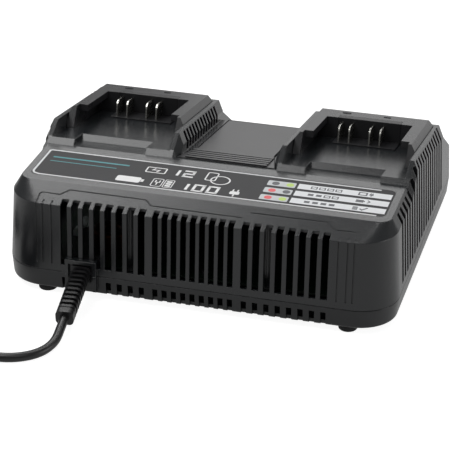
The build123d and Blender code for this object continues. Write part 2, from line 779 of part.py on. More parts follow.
with BuildPart() as label_sheet:
    with BuildSketch(Plane.XY.offset(deck_z - label_thickness)):
        with Locations((0, (label_front_y + label_rear_y) / 2)):
            RectangleRounded(2 * label_half, label_rear_y - label_front_y, label_corner - fit_gap / 2)
    extrude(amount=label_thickness)
label_sheet.part.label = "label_sheet"
export_step(label_sheet.part, "parts/label_sheet.step")

# ---------------------------------------------------------------- docks

for name, x in sides.items():
    with BuildPart() as collar:
        # skirt standing on the dock floor
        with BuildSketch(slope_plane(floor_w, x)):
            Polygon((-seam_half, pillar_foot_v), (seam_half, pillar_foot_v),
                    (seam_half, collar_rear_v), (-seam_half, collar_rear_v))
        extrude(amount=ledge_w + 0.2 - floor_w)
        # flared sides up to the rim
        with BuildSketch(slope_plane(ledge_w + 0.2, x)):
            Polygon((-seam_half, pillar_foot_v), (seam_half, pillar_foot_v),
                    (seam_half, collar_rear_v), (-seam_half, collar_rear_v))
        with BuildSketch(slope_plane(rim_w, x)):
            Polygon((-rim_half, pillar_foot_v), (rim_half, pillar_foot_v),
                    (rim_half, rim_rear_v), (-rim_half, rim_rear_v))
        loft(ruled=True)
        # both front ends lean back
        with BuildSketch(side_plane(x - tower_half)):
            lean = (pillar_top_v - pillar_foot_v) / (rim_w - floor_w)
            Polygon((pillar_foot_v - lean, floor_w - 1), (pillar_top_v + lean, rim_w + 1), (-60, rim_w + 1),
                    (-60, floor_w - 1))
        extrude(amount=2 * tower_half, mode=Mode.SUBTRACT)
        # cavity under the rails, and the opening between them
        with BuildSketch(slope_plane(floor_w - 1, x)):
            Polygon((-channel_half, -60), (channel_half, -60), (channel_half, cavity_rear_v),
                    (-channel_half, cavity_rear_v))
        extrude(amount=rail_w - floor_w + 1, mode=Mode.SUBTRACT)
        with BuildSketch(slope_plane(floor_w - 1, x)):
            Polygon((-rail_half, -60), (rail_half, -60), (rail_half, cavity_rear_v),
                    (-rail_half, cavity_rear_v))
            Polygon((-channel_half, -60), (channel_half, -60), (channel_half, rail_front_v),
                    (-channel_half, rail_front_v))
        extrude(amount=30, mode=Mode.SUBTRACT)
        # seat for the terminal block, with room for the blade tails behind it
        with BuildSketch(slope_plane(floor_w - 1, x)):
            Polygon((-block_half - fit_gap / 2, cavity_rear_v - 1), (block_half + fit_gap / 2, cavity_rear_v - 1),
                    (block_half + fit_gap / 2, cavity_rear_v + block_depth + fit_gap / 2),
                    (-block_half - fit_gap / 2, cavity_rear_v + block_depth + fit_gap / 2))
        extrude(amount=30, mode=Mode.SUBTRACT)
        # space under the rear rim
        with BuildSketch(slope_plane(floor_w - 1, x)):
            Polygon((-led_board_half - 2, cavity_rear_v + block_depth), (led_board_half + 2,
                                                                        cavity_rear_v + block_depth),
                    (led_board_half + 2, rim_rear_v - wall), (-led_board_half - 2, rim_rear_v - wall))
        extrude(amount=rim_w - rim_plate - floor_w + 1, mode=Mode.SUBTRACT)
        # light windows
        with BuildSketch(slope_plane(rim_w - rim_plate - 1, x)):
            for u, lens_length, lens_width in lens_places:
                with Locations((u, lens_v)):
                    SlotOverall(lens_length + fit_gap / 2, lens_width + fit_gap / 2)
        extrude(amount=rim_plate + 2, mode=Mode.SUBTRACT)
    collar.part.label = name + "_dock_collar"
    export_step(collar.part, "parts/" + name + "_dock_collar.step")

    with BuildPart() as terminal_block:
        with BuildSketch(slope_plane(floor_w, x)):
            Polygon((-block_half, cavity_rear_v), (block_half, cavity_rear_v),
                    (block_half, cavity_rear_v + block_depth), (-block_half, cavity_rear_v + block_depth))
        extrude(amount=rim_w - floor_w)
        with BuildSketch(slope_plane(floor_w, x)):
            Polygon((-block_half, block_plate_v), (block_half, block_plate_v),
                    (block_half, cavity_rear_v), (-block_half, cavity_rear_v))
        extrude(amount=block_plate)
        # slits for the blades
        with BuildSketch(slope_plane(floor_w - 1, x)):
            for offset_u in blade_offsets:
                slit = blade_thickness / 2 + blade_slit_gap
                mid = blade_shift + offset_u
                Polygon((mid - slit, blade_front_v - blade_slit_gap), (mid + slit, blade_front_v - blade_slit_gap),
                        (mid + slit, cavity_rear_v + block_depth + 1), (mid - slit, cavity_rear_v + block_depth + 1))
        extrude(amount=blade_top_w + blade_slit_gap - floor_w + 1, mode=Mode.SUBTRACT)
    terminal_block.part.label = name + "_terminal_block"
    export_step(terminal_block.part, "parts/" + name + "_terminal_block.step")

    with BuildPart() as blades:
        for offset_u in blade_offsets:
            with BuildSketch(side_plane(x + blade_shift + offset_u - blade_thickness / 2)):
                with BuildLine():
                    foot = floor_w + blade_foot_gap
                    FilletPolyline((blade_root_v, foot), (blade_root_v, blade_top_w),
                                   (blade_front_v, blade_top_w), (blade_front_v, foot),
                                   radius=(0.6, blade_nose_radius))
                    Polyline((blade_front_v, foot), (tail_front_v, foot), (tail_front_v, blade_tail_w),
                             (blade_root_v, blade_tail_w), (blade_root_v, foot))
                make_face()
            extrude(amount=blade_thickness)
    blades.part.label = name + "_terminal_blades"
    export_step(blades.part, "parts/" + name + "_terminal_blades.step")

    with BuildPart() as lenses:
        with BuildSketch(slope_plane(rim_w - rim_plate, x)):
            for u, lens_length, lens_width in lens_places:
                with Locations((u, lens_v)):
                    SlotOverall(lens_length, lens_width)
        extrude(amount=rim_plate + lens_proud)
        fillet(lenses.edges().group_by(Axis(origin=(0, 0, 0), direction=up_dir))[-1], radius=0.2)
    lenses.part.label = name + "_led_lenses"
    export_step(lenses.part, "parts/" + name + "_led_lenses.step")

    with BuildPart() as led_board:
        with BuildSketch(slope_plane(rim_w - rim_plate - led_board_thickness, x)):
            with Locations((0, lens_v - 0.6)):
                Rectangle(2 * led_board_half, led_board_depth)
        extrude(amount=led_board_thickness)
    led_board.part.label = name + "_led_board"
    export_step(led_board.part, "parts/" + name + "_led_board.step")

    with BuildPart() as leads:
        tail_y = (tail_front_v + blade_root_v) / 2 * cos(slope) + blade_tail_w * sin(slope)
        tail_z = blade_tail_w * cos(slope) - blade_root_v * sin(slope) + frame_lift
        with BuildSketch(Plane.XY.offset(board_top_z)):
            with Locations(*[(x + blade_shift + u, tail_y) for u in blade_offsets]):
                Circle(lead_radius)
        extrude(amount=tail_z - 0.2 - board_top_z)
    leads.part.label = name + "_dock_leads"
    export_step(leads.part, "parts/" + name + "_dock_leads.step")

# ---------------------------------------------------------------- circuit board and what it carries

with BuildPart() as main_board:
    with BuildSketch(Plane.XY.offset(board_z)):
        with Locations((0, (board_front_y + board_rear_y) / 2)):
            Rectangle(2 * board_half_x, board_rear_y - board_front_y)
        with Locations((-board_half_x - usb_tab_half / 2, usb_y)):
            Rectangle(usb_tab_half, 2 * usb_tab_half)
        with Locations(((board_notch_x + board_half_x) / 2, fan_y)):
            Rectangle(board_half_x - board_notch_x, 2 * board_notch_y, mode=Mode.SUBTRACT)
        with Locations(*board_posts):
            Circle(screw_radius + 0.2, mode=Mode.SUBTRACT)
    extrude(amount=board_thickness)
main_board.part.label = "main_board"
export_step(main_board.part, "parts/main_board.step")

with BuildPart() as board_screws:
    with BuildSketch(Plane.XY.offset(board_top_z)):
        with Locations(*board_posts):
            Circle(screw_head_radius)
    extrude(amount=screw_head_height)
    with BuildSketch(Plane.XY.offset(inner_floor_z + 1.0)):
        with Locations(*board_posts):
            Circle(screw_radius)
    extrude(amount=board_top_z - inner_floor_z - 1.0)
board_screws.part.label = "board_screws"
export_step(board_screws.part, "parts/board_screws.step")

core_x, core_y = core_place
with BuildPart() as transformer_core:
    with BuildSketch(flat_cross(core_y + core_size[1] / 2)):
        with Locations((core_x, board_top_z + core_size[2] / 2)):
            Rectangle(core_size[0], core_size[2])
        for side in (-1, 1):
            window = (core_size[0] - 2 * core_yoke - core_leg) / 2
            with Locations((core_x + side * (core_leg + window) / 2, board_top_z + core_size[2] / 2)):
                Rectangle(window, core_size[2] - 2 * core_yoke, mode=Mode.SUBTRACT)
    extrude(amount=core_size[1])
transformer_core.part.label = "transformer_core"
export_step(transformer_core.part, "parts/transformer_core.step")

with BuildPart() as transformer_winding:
    window = (core_size[0] - 2 * core_yoke - core_leg) / 2
    with BuildSketch(Plane.XY.offset(board_top_z + core_yoke + winding_gap)):
        with Locations((core_x, core_y)):
            RectangleRounded(core_leg + 2 * window - 2 * winding_gap, core_size[1] + 2 * winding_thick, 5)
            Rectangle(core_leg + 2 * winding_gap, core_size[1] + 2 * winding_gap, mode=Mode.SUBTRACT)
    extrude(amount=core_size[2] - 2 * core_yoke - 2 * winding_gap)
transformer_winding.part.label = "transformer_winding"
export_step(transformer_winding.part, "parts/transformer_winding.step")

with BuildPart() as bulk_capacitors:
    with BuildSketch(Plane.XY.offset(board_top_z)):
        with Locations(*capacitor_places):
            Circle(capacitor_radius)
    extrude(amount=capacitor_height)
    fillet(bulk_capacitors.edges().group_by(Axis.Z)[-1], radius=1.2)
bulk_capacitors.part.label = "bulk_capacitors"
export_step(bulk_capacitors.part, "parts/bulk_capacitors.step")

for name, (sink_x, sink_y) in zip(sides, sink_places):
    with BuildPart() as heat_sink:
        with BuildSketch(Plane.XY.offset(board_top_z)):
            with Locations((sink_x, sink_y)):
                Rectangle(sink_length, sink_base)
            with Locations((sink_x, sink_y + sink_base / 2 + sink_fin_reach / 2)):
                with GridLocations((sink_length - sink_fin_thick) / (sink_fins - 1), 1, sink_fins, 1):
                    Rectangle(sink_fin_thick, sink_fin_reach)
        extrude(amount=sink_height)
    heat_sink.part.label = name + "_heat_sink"
    export_step(heat_sink.part, "parts/" + name + "_heat_sink.step")

with BuildPart() as power_transistors:
    with BuildSketch(Plane.XY.offset(board_top_z)):
        for sink_x, sink_y in sink_places:
            for side in (-1, 1):
                with Locations((sink_x + side * sink_length / 4,
                                sink_y - sink_base / 2 - transistor_size[1] / 2)):
                    Rectangle(transistor_size[0], transistor_size[1])
    extrude(amount=transistor_size[2])
power_transistors.part.label = "power_transistors"
export_step(power_transistors.part, "parts/power_transistors.step")

with BuildPart() as choke:
    with BuildSketch(Plane.XY.offset(board_top_z)):
        with Locations(choke_place):
            Circle(choke_radius)
            Circle(choke_bore, mode=Mode.SUBTRACT)
    extrude(amount=choke_height)
    fillet(choke.edges(), radius=2.4)
choke.part.label = "choke"
export_step(choke.part, "parts/choke.step")

with BuildPart() as mains_fuse:
    fuse_z = board_top_z + fuse_radius + 0.6
    with BuildSketch(flat_cross(fuse_place[1] + fuse_length / 2)):
        with Locations((fuse_place[0], fuse_z)):
            Circle(fuse_radius - 0.3)
    extrude(amount=fuse_length)
    for y in (fuse_place[1] + fuse_length / 2, fuse_place[1] - fuse_length / 2 + fuse_cap):
        with BuildSketch(flat_cross(y)):
            with Locations((fuse_place[0], fuse_z)):
                Circle(fuse_radius)
            with Locations((fuse_place[0], board_top_z + 0.9)):
                Rectangle(2 * fuse_radius, 1.8)
        extrude(amount=fuse_cap)
mains_fuse.part.label = "mains_fuse"
export_step(mains_fuse.part, "parts/mains_fuse.step")

with BuildPart() as usb_socket:
    with BuildSketch(flat_side(-width / 2 + usb_inset)):
        with Locations((usb_y, board_top_z + usb_height / 2)):
            Rectangle(usb_width, usb_height)
            Rectangle(usb_width - 2 * usb_shell, usb_height - 2 * usb_shell, mode=Mode.SUBTRACT)
    extrude(amount=usb_depth)
    with BuildSketch(flat_side(-width / 2 + usb_inset + 0.8)):
        with Locations((usb_y, board_top_z + usb_height / 2 + 0.9)):
            Rectangle(usb_width - 2.4, 1.7)
    extrude(amount=usb_depth - 0.8)
    with BuildSketch(flat_side(-width / 2 + usb_inset + usb_depth - 2)):
        with Locations((usb_y, board_top_z + usb_height / 2)):
            Rectangle(usb_width, usb_height)
    extrude(amount=2)
usb_socket.part.label = "usb_socket"
export_step(usb_socket.part, "parts/usb_socket.step")

# ---------------------------------------------------------------- cooling fan, its axis along X

fan_z = fan_bottom_z + fan_size / 2
fan_back_x = fan_x - fan_depth
with BuildPart() as fan_frame:
    with BuildSketch(flat_side(fan_back_x)):
        with Locations((fan_y, fan_z)):
            RectangleRounded(fan_size, fan_size, fan_corner)
            Circle(fan_bore, mode=Mode.SUBTRACT)
            with GridLocations(fan_size - 8, fan_size - 8, 2, 2):
                Circle(2.0, mode=Mode.SUBTRACT)
    extrude(amount=fan_depth)
    # motor plate on four spokes, at the inner end
    with BuildSketch(flat_side(fan_back_x)):
        with Locations((fan_y, fan_z)):
            Circle(fan_motor_radius)
            for turn in (45, 135):
                Rectangle(2 * fan_bore + 1, fan_spoke, rotation=turn)
    extrude(amount=fan_spoke)
    with BuildSketch(flat_side(fan_back_x)):
        with Locations((fan_y, fan_z)):
            Circle(fan_shaft_radius)
    extrude(amount=fan_depth - 2.5)
fan_frame.part.label = "fan_frame"
export_step(fan_frame.part, "parts/fan_frame.step")

with BuildPart() as fan_rotor:
    rotor_x = fan_back_x + fan_spoke + fit_gap
    rotor_length = fan_depth - fan_spoke - fit_gap - 1.0
    with BuildSketch(flat_side(rotor_x)):
        with Locations((fan_y, fan_z)):
            Circle(fan_hub_radius)
    extrude(amount=rotor_length)
    blade_reach = fan_bore - fan_tip_gap
    for i in range(fan_blades):
        turn = 360 / fan_blades * i
        radial = Plane(origin=(rotor_x + rotor_length / 2, fan_y, fan_z), x_dir=(1, 0, 0),
                       z_dir=(0, cos(radians(turn)), sin(radians(turn))))
        with BuildSketch(radial.offset(fan_hub_radius - 0.6)):
            Rectangle((rotor_length - 1) / cos(radians(fan_blade_pitch)) * 0.74, fan_blade_thickness,
                      rotation=fan_blade_pitch)
        with BuildSketch(radial.offset(blade_reach)):
            Rectangle((rotor_length - 1) / cos(radians(fan_blade_pitch)) * 0.74, fan_blade_thickness,
                      rotation=fan_blade_pitch + 14)
        loft(ruled=True)
    with BuildSketch(flat_side(rotor_x)):
        with Locations((fan_y, fan_z)):
            Circle(fan_shaft_radius + fan_shaft_clearance)
    extrude(amount=rotor_length - 1.0, mode=Mode.SUBTRACT)
fan_rotor.part.label = "fan_rotor"
export_step(fan_rotor.part, "parts/fan_rotor.step")

# ---------------------------------------------------------------- mains lead

guard_dir = Vector(sin(radians(guard_swing)) * cos(radians(guard_droop)),
                   -cos(radians(guard_swing)) * cos(radians(guard_droop)), -sin(radians(guard_droop)))
guard_root = Vector(cord_exit_x, front_y - boss_proud + 0.2, parting_z)
guard_across = Vector(cos(radians(guard_swing)), sin(radians(guard_swing)), 0)
guard_end = guard_root + guard_dir * guard_length


def guard_plane(distance):
    """Plane square to the drooping guard, at a distance from its root."""
    return Plane(origin=guard_root + guard_dir * distance, x_dir=guard_across, z_dir=guard_dir)


with BuildPart() as strain_relief:
    # tail held by the clamp, neck through the wall, flanges each side of it
    with BuildSketch(flat_cross(clamp_y + clamp_width / 2 + 2)):
        with Locations((cord_exit_x, parting_z)):
            Circle(guard_tail_radius)
    extrude(amount=clamp_y + clamp_width / 2 + 2 - front_y)
    with BuildSketch(flat_cross(front_y + wall + 2)):
        with Locations((cord_exit_x, parting_z)):
            Circle(guard_neck_radius)
    extrude(amount=wall + 3)
    with BuildSketch(flat_cross(front_y - fit_gap)):
        with Locations((cord_exit_x, parting_z)):
            RectangleRounded(guard_flange, guard_flange, 2)
    extrude(amount=guard_flange_thickness)
    # ribs on a slim core
    with BuildSketch(guard_plane(-2.6)):
        Circle(guard_core_radius)
    extrude(amount=guard_length + 2.6)
    pitch = (guard_length - guard_sleeve) / guard_ribs
    for i in range(guard_ribs):
        along = pitch * (i + 0.35)
        half = guard_radius + (guard_end_radius - guard_radius) * along / guard_length
        with BuildSketch(guard_plane(along)):
            RectangleRounded(2 * half, 2 * half - 1.2, half * 0.55)
        extrude(amount=guard_rib_width)
    with BuildSketch(guard_plane(guard_length - guard_sleeve)):
        RectangleRounded(2 * guard_end_radius, 2 * guard_end_radius - 1.2, guard_end_radius * 0.55)
    extrude(amount=guard_sleeve)
strain_relief.part.label = "strain_relief"
export_step(strain_relief.part, "parts/strain_relief.step")

with BuildPart() as cord_clamp:
    with BuildSketch(Plane.XY.offset(parting_z)):
        with Locations((cord_exit_x, clamp_y)):
            Rectangle(clamp_length, clamp_width)
    extrude(amount=clamp_height)
    with BuildSketch(flat_cross(clamp_y + clamp_width / 2)):
        with Locations((cord_exit_x, parting_z)):
            Circle(guard_tail_radius + fit_gap / 3)
    extrude(amount=clamp_width, mode=Mode.SUBTRACT)
    with BuildSketch(Plane.XY.offset(parting_z)):
        with Locations(*[(cord_exit_x + side * clamp_screw_x, clamp_y) for side in (-1, 1)]):
            Circle(clamp_screw_radius + 0.1)
    extrude(amount=clamp_height, mode=Mode.SUBTRACT)
cord_clamp.part.label = "cord_clamp"
export_step(cord_clamp.part, "parts/cord_clamp.step")

with BuildPart() as clamp_screws:
    with BuildSketch(Plane.XY.offset(parting_z + clamp_height)):
        with Locations(*[(cord_exit_x + side * clamp_screw_x, clamp_y) for side in (-1, 1)]):
            Circle(screw_head_radius)
    extrude(amount=screw_head_height)
    with BuildSketch(Plane.XY.offset(parting_z + clamp_height - clamp_screw_length)):
        with Locations(*[(cord_exit_x + side * clamp_screw_x, clamp_y) for side in (-1, 1)]):
            Circle(clamp_screw_radius)
    extrude(amount=clamp_screw_length)
clamp_screws.part.label = "clamp_screws"
export_step(clamp_screws.part, "parts/clamp_screws.step")

# route of the cord from the guard to the coil, points chosen by hand
cord_rest_z = cord_diameter / 2 + 0.05
coil_stub_y = coil_centre[1] - coil_outer_turn
cord_route = [
    tuple(guard_end),
    tuple(guard_end + guard_dir * 10),
    (-69.3, -179.5, 4.4),
    (-73.7, -191.7, cord_rest_z),
    (-83.4, -201.3, cord_rest_z),
    (-96.2, -205.6, cord_rest_z),
    (-109.6, -204.2, cord_rest_z),
    (coil_centre[0] + coil_stub + 13, coil_stub_y, cord_rest_z),
    (coil_centre[0] + coil_stub, coil_stub_y, cord_rest_z),
]
tail_start_y = coil_centre[1] + coil_stub
tail_end_y = plug_y - plug_guard_length
tail_run = (tail_end_y - tail_start_y) / 4
tail_x = coil_centre[0] - coil_outer_turn
tail_start_z = cord_rest_z + cord_diameter
tail_drop = tail_start_z - plug_height / 2
tail_route = [
    (tail_x, tail_start_y, tail_start_z),
    (tail_x, tail_start_y + tail_run, tail_start_z),
    (tail_x, tail_start_y + 2 * tail_run, tail_start_z - tail_drop * 0.4),
    (tail_x, tail_start_y + 3 * tail_run, plug_height / 2),
    (tail_x, tail_end_y, plug_height / 2),
]


def corner_radii(points, name):
    """Radius of each corner's arc: 0.45 of the shorter run over the tangent of half the turn."""
    radii = []
    for a, b, c in zip(points, points[1:], points[2:]):
        first, second = Vector(*b) - Vector(*a), Vector(*c) - Vector(*b)
        half_turn = radians(first.get_angle(second)) / 2
        radii.append(0.45 * min(first.length, second.length) / tan(half_turn))
    print(name, "corner radii in diameters", [round(r / cord_diameter, 1) for r in radii])
    return radii


for name, route in (("mains_cord", cord_route), ("mains_cord_tail", tail_route)):
    with BuildPart() as tube:
        with BuildLine() as path:
            FilletPolyline(*route, radius=corner_radii(route, name))
        start = Vector(*route[1]) - Vector(*route[0])
        with BuildSketch(Plane(origin=route[0], z_dir=start)):
            Circle(cord_diameter / 2)
        sweep()
    length = sum(edge.length for edge in path.edges())
    print(name, "length", round(length, 1), "volume ratio",
          round(tube.part.volume / (pi * cord_diameter ** 2 / 4 * length), 4))
    tube.part.label = name
    export_step(tube.part, "parts/" + name + ".step")

with BuildPart() as mains_cord_coil:
    ring_height = coil_turns_high * cord_diameter
    ring_half = coil_turns_wide * cord_diameter / 2
    with BuildSketch(Plane.XY.offset(0.05)):
        with Locations(coil_centre):
            Circle(coil_mean_radius + ring_half)
            Circle(coil_mean_radius - ring_half, mode=Mode.SUBTRACT)
    extrude(amount=ring_height)
    fillet(mains_cord_coil.edges(), radius=2.6)
    with BuildSketch(Plane(origin=cord_route[-1], z_dir=(-1, 0, 0))):
        Circle(cord_diameter / 2)
    extrude(amount=coil_stub)
    with BuildSketch(Plane(origin=tail_route[0], z_dir=(0, -1, 0))):
        Circle(cord_diameter / 2)
    extrude(amount=coil_stub)
mains_cord_coil.part.label = "mains_cord_coil"
export_step(mains_cord_coil.part, "parts/mains_cord_coil.step")

plug_x = tail_route[-1][0]
with BuildPart() as mains_plug_body:
    with BuildSketch(Plane(origin=(plug_x, plug_y, plug_height / 2), x_dir=(1, 0, 0), z_dir=(0, 1, 0))):
        RectangleRounded(plug_width * 0.55, plug_height * 0.8, 4)
    with BuildSketch(Plane(origin=(plug_x, plug_y + plug_length * 0.35, plug_height / 2), x_dir=(1, 0, 0),
                           z_dir=(0, 1, 0))):
        RectangleRounded(plug_width * 0.86, plug_height, 5)
    with BuildSketch(Plane(origin=(plug_x, plug_y + plug_length, plug_height / 2), x_dir=(1, 0, 0),
                           z_dir=(0, 1, 0))):
        RectangleRounded(plug_width, plug_height, 5)
    loft(ruled=True)
    with BuildSketch(Plane(origin=(plug_x, plug_y - plug_guard_length, plug_height / 2), x_dir=(1, 0, 0),
                           z_dir=(0, 1, 0))):
        Circle(cord_diameter / 2 + 1.2)
    with BuildSketch(Plane(origin=(plug_x, plug_y, plug_height / 2), x_dir=(1, 0, 0), z_dir=(0, 1, 0))):
        Circle(plug_height * 0.36)
    loft(ruled=True)
    with BuildSketch(Plane(origin=(plug_x, plug_y + plug_length, plug_height / 2), x_dir=(1, 0, 0),
                           z_dir=(0, 1, 0))):
        with Locations((-plug_pin_spacing / 2, 0), (plug_pin_spacing / 2, 0)):
            Circle(plug_pin_radius)
    extrude(amount=plug_sleeve_length)
mains_plug_body.part.label = "mains_plug_body"
export_step(mains_plug_body.part, "parts/mains_plug_body.step")

with BuildPart() as mains_plug_pins:
    pin_y = plug_y + plug_length + plug_sleeve_length
    with BuildSketch(Plane(origin=(plug_x, pin_y, plug_height / 2), x_dir=(1, 0, 0), z_dir=(0, 1, 0))):
        with Locations((-plug_pin_spacing / 2, 0), (plug_pin_spacing / 2, 0)):
            Circle(plug_pin_radius)
    extrude(amount=plug_pin_length - plug_sleeve_length)
    fillet(mains_plug_pins.edges().group_by(Axis.Y)[-1], radius=1.2)
mains_plug_pins.part.label = "mains_plug_pins"
export_step(mains_plug_pins.part, "parts/mains_plug_pins.step")
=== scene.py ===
from math import cos, pi, radians, sin

import bmesh
import bpy
from mathutils import Matrix, Vector


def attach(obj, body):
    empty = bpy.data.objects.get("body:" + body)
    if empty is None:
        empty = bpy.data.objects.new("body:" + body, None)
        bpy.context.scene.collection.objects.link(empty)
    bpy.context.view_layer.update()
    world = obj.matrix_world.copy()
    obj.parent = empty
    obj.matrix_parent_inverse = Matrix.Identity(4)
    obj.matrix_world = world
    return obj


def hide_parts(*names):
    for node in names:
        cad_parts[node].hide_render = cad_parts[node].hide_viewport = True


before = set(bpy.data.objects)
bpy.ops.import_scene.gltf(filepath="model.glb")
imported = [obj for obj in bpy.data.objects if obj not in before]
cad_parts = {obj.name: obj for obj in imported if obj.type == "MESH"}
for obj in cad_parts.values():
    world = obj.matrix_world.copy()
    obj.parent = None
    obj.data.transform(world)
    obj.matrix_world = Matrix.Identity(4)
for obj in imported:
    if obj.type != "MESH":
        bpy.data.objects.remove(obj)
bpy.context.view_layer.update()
print("frame loaded:", len(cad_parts), "nodes")


def mm(*values):
    # millimetres to metres
    return tuple(v / 1000 for v in values) if len(values) > 1 else values[0] / 1000


def textureScale(size):
    # texture scale at which features come this many millimetres apart
    return 1000 / size


def hexColour(code):
    # sRGB hex to linear
    parts = [int(code[i:i + 2], 16) / 255 for i in (1, 3, 5)]
    linear = [p / 12.92 if p <= 0.04045 else ((p + 0.055) / 1.055) ** 2.4 for p in parts]
    return (*linear, 1.0)


def addNode(tree, kind, inputs=None, **settings):
    # one node with its settings, values and links
    node = tree.nodes.new(kind)
    for key, value in settings.items():
        setattr(node, key, value)
    for key, value in (inputs or {}).items():
        if isinstance(value, bpy.types.NodeSocket):
            tree.links.new(value, node.inputs[key])
        else:
            node.inputs[key].default_value = value
    return node


def newMaterial(name):
    material = bpy.data.materials.new(name)
    material.use_nodes = True
    tree = material.node_tree
    tree.nodes.clear()
    return material, tree, addNode(tree, "ShaderNodeTexCoord").outputs["Object"]


def finishMaterial(tree, shader):
    addNode(tree, "ShaderNodeOutputMaterial", {"Surface": shader.outputs[0]})


# camera: aim and distance in millimetres, angles in degrees

camera = {
    "aim": (-1.2, -17.0, 17.6),
    "distance": 1395.7,
    "azimuth": 14.5,
    "elevation": 25.85,
    "roll": 0.89,
    "lens": 160.72,
    "sensor": 36.0,
    "shift": (0.0023, -0.0032),
    "clip": (50, 30000),
}


def placeCamera():
    azimuth, elevation, roll = (radians(camera[k]) for k in ("azimuth", "elevation", "roll"))
    back = Vector((sin(azimuth) * cos(elevation), -cos(azimuth) * cos(elevation), sin(elevation)))
    right = (-back).cross(Vector((0, 0, 1))).normalized()
    up = right.cross(-back)
    across = right * cos(roll) + up * sin(roll)
    upward = up * cos(roll) - right * sin(roll)
    data = bpy.data.cameras.new("camera")
    data.lens, data.sensor_width = camera["lens"], camera["sensor"]
    data.shift_x, data.shift_y = camera["shift"]
    data.clip_start, data.clip_end = mm(*camera["clip"])
    item = bpy.data.objects.new("camera", data)
    bpy.context.scene.collection.objects.link(item)
    place = (Vector(camera["aim"]) + back * camera["distance"]) / 1000
    item.matrix_world = Matrix((across, upward, back)).transposed().to_4x4()
    item.matrix_world.translation = place
    bpy.context.scene.camera = item


placeCamera()
print("camera placed")


# materials; sizes of their patterns are in millimetres

slope = radians(9.15)  # fall of the top behind the label
slopeUp = (0.0, sin(slope), cos(slope))

absPattern = {
    "cloud": 42.0,  # slow drift of tone over a moulding
    "drift": 0.01,  # roughness between clouds
    "speck": (0.90, 1.08),  # tone of the grain's pits and tops
    "depth": 0.12,  # of the relief, as in the patterns below
}
metalPattern = {
    "polish": (0.75, 1.25),  # roughness along and between the drawn lines
    "depth": 0.05,
}
rubberPattern = {
    "blotch": 9.0,  # uneven bloom
    "drift": 0.06,
    "skin": 0.9,
    "depth": 0.08,
}
boardPattern = {
    "track": 14.0,  # drawn wide so that it shows
    "gapWidth": 0.02,  # share of a track
    "depth": 0.04,
}
inkPattern = {"mesh": 1.2}  # printing mesh, drawn ten times coarser than it is so that it shows
lensPattern = {"smoke": 2.0}


def sparkErodedAbs(name, look):
    # moulded in a spark-eroded tool: satin, an even grain drawn coarser than it is, soft edges
    material, tree, place = newMaterial(name)
    cloud = addNode(tree, "ShaderNodeTexNoise", {
        "Vector": place, "Scale": textureScale(absPattern["cloud"]), "Detail": 3.0})
    grain = addNode(tree, "ShaderNodeTexNoise", {
        "Vector": place, "Scale": textureScale(look["grain"]), "Detail": 2.0, "Roughness": 0.6})
    tint = addNode(tree, "ShaderNodeMix", {
        "Factor": cloud.outputs["Fac"], 6: hexColour(look["dark"]), 7: hexColour(look["light"])},
        data_type="RGBA")
    pit, top = absPattern["speck"]
    speck = addNode(tree, "ShaderNodeMapRange", {
        "Value": grain.outputs["Fac"], "From Min": 0.35, "From Max": 0.65, "To Min": pit,
        "To Max": top})
    colour = addNode(tree, "ShaderNodeMix", {
        "Factor": 1.0, 6: tint.outputs[2], 7: speck.outputs["Result"]},
        data_type="RGBA", blend_type="MULTIPLY")
    rough = addNode(tree, "ShaderNodeMapRange", {
        "Value": cloud.outputs["Fac"], "From Min": 0.3, "From Max": 0.7,
        "To Min": look["roughness"] - absPattern["drift"],
        "To Max": look["roughness"] + absPattern["drift"]})
    roughness = rough.outputs["Result"]
    dockFloor = look.get("dockFloor")
    if dockFloor:
        # polished by the batteries sliding over it; its level is square to the slope
        height = addNode(tree, "ShaderNodeVectorMath", {0: place, 1: slopeUp},
                         operation="DOT_PRODUCT")
        near = addNode(tree, "ShaderNodeMath", {
            0: height.outputs["Value"], 1: mm(dockFloor["level"]), 2: mm(dockFloor["within"])},
            operation="COMPARE")
        blend = addNode(tree, "ShaderNodeMix", {
            "Factor": near.outputs[0], 2: roughness, 3: dockFloor["roughness"]})
        roughness = blend.outputs[0]
    soft = addNode(tree, "ShaderNodeBevel", {"Radius": mm(look["edge"])}, samples=4)
    bump = addNode(tree, "ShaderNodeBump", {
        "Height": grain.outputs["Fac"], "Strength": look["bump"],
        "Distance": mm(absPattern["depth"]), "Normal": soft.outputs["Normal"]})
    shader = addNode(tree, "ShaderNodeBsdfPrincipled", {
        "Base Color": colour.outputs[2], "Roughness": roughness, "IOR": 1.53,
        "Specular IOR Level": look["specular"], "Normal": bump.outputs["Normal"]})
    finishMaterial(tree, shader)
    return material


def plainMetal(name, look):
    # rolled or plated metal: fine drawn lines along one direction
    material, tree, place = newMaterial(name)
    spread = addNode(tree, "ShaderNodeMapping", {"Vector": place, "Scale": look["lines"]})
    drawn = addNode(tree, "ShaderNodeTexNoise", {
        "Vector": spread.outputs[0], "Scale": 1.0, "Detail": 4.0})
    along, between = metalPattern["polish"]
    rough = addNode(tree, "ShaderNodeMapRange", {
        "Value": drawn.outputs["Fac"], "From Min": 0.3, "From Max": 0.7,
        "To Min": look["roughness"] * along, "To Max": look["roughness"] * between})
    tint = addNode(tree, "ShaderNodeMix", {
        "Factor": drawn.outputs["Fac"], 6: hexColour(look["dark"]), 7: hexColour(look["light"])},
        data_type="RGBA")
    bump = addNode(tree, "ShaderNodeBump", {
        "Height": drawn.outputs["Fac"], "Strength": 0.15, "Distance": mm(metalPattern["depth"])})
    shader = addNode(tree, "ShaderNodeBsdfPrincipled", {
        "Base Color": tint.outputs[2], "Metallic": 1.0, "Roughness": rough.outputs["Result"],
        "Normal": bump.outputs["Normal"]})
    finishMaterial(tree, shader)
    return material


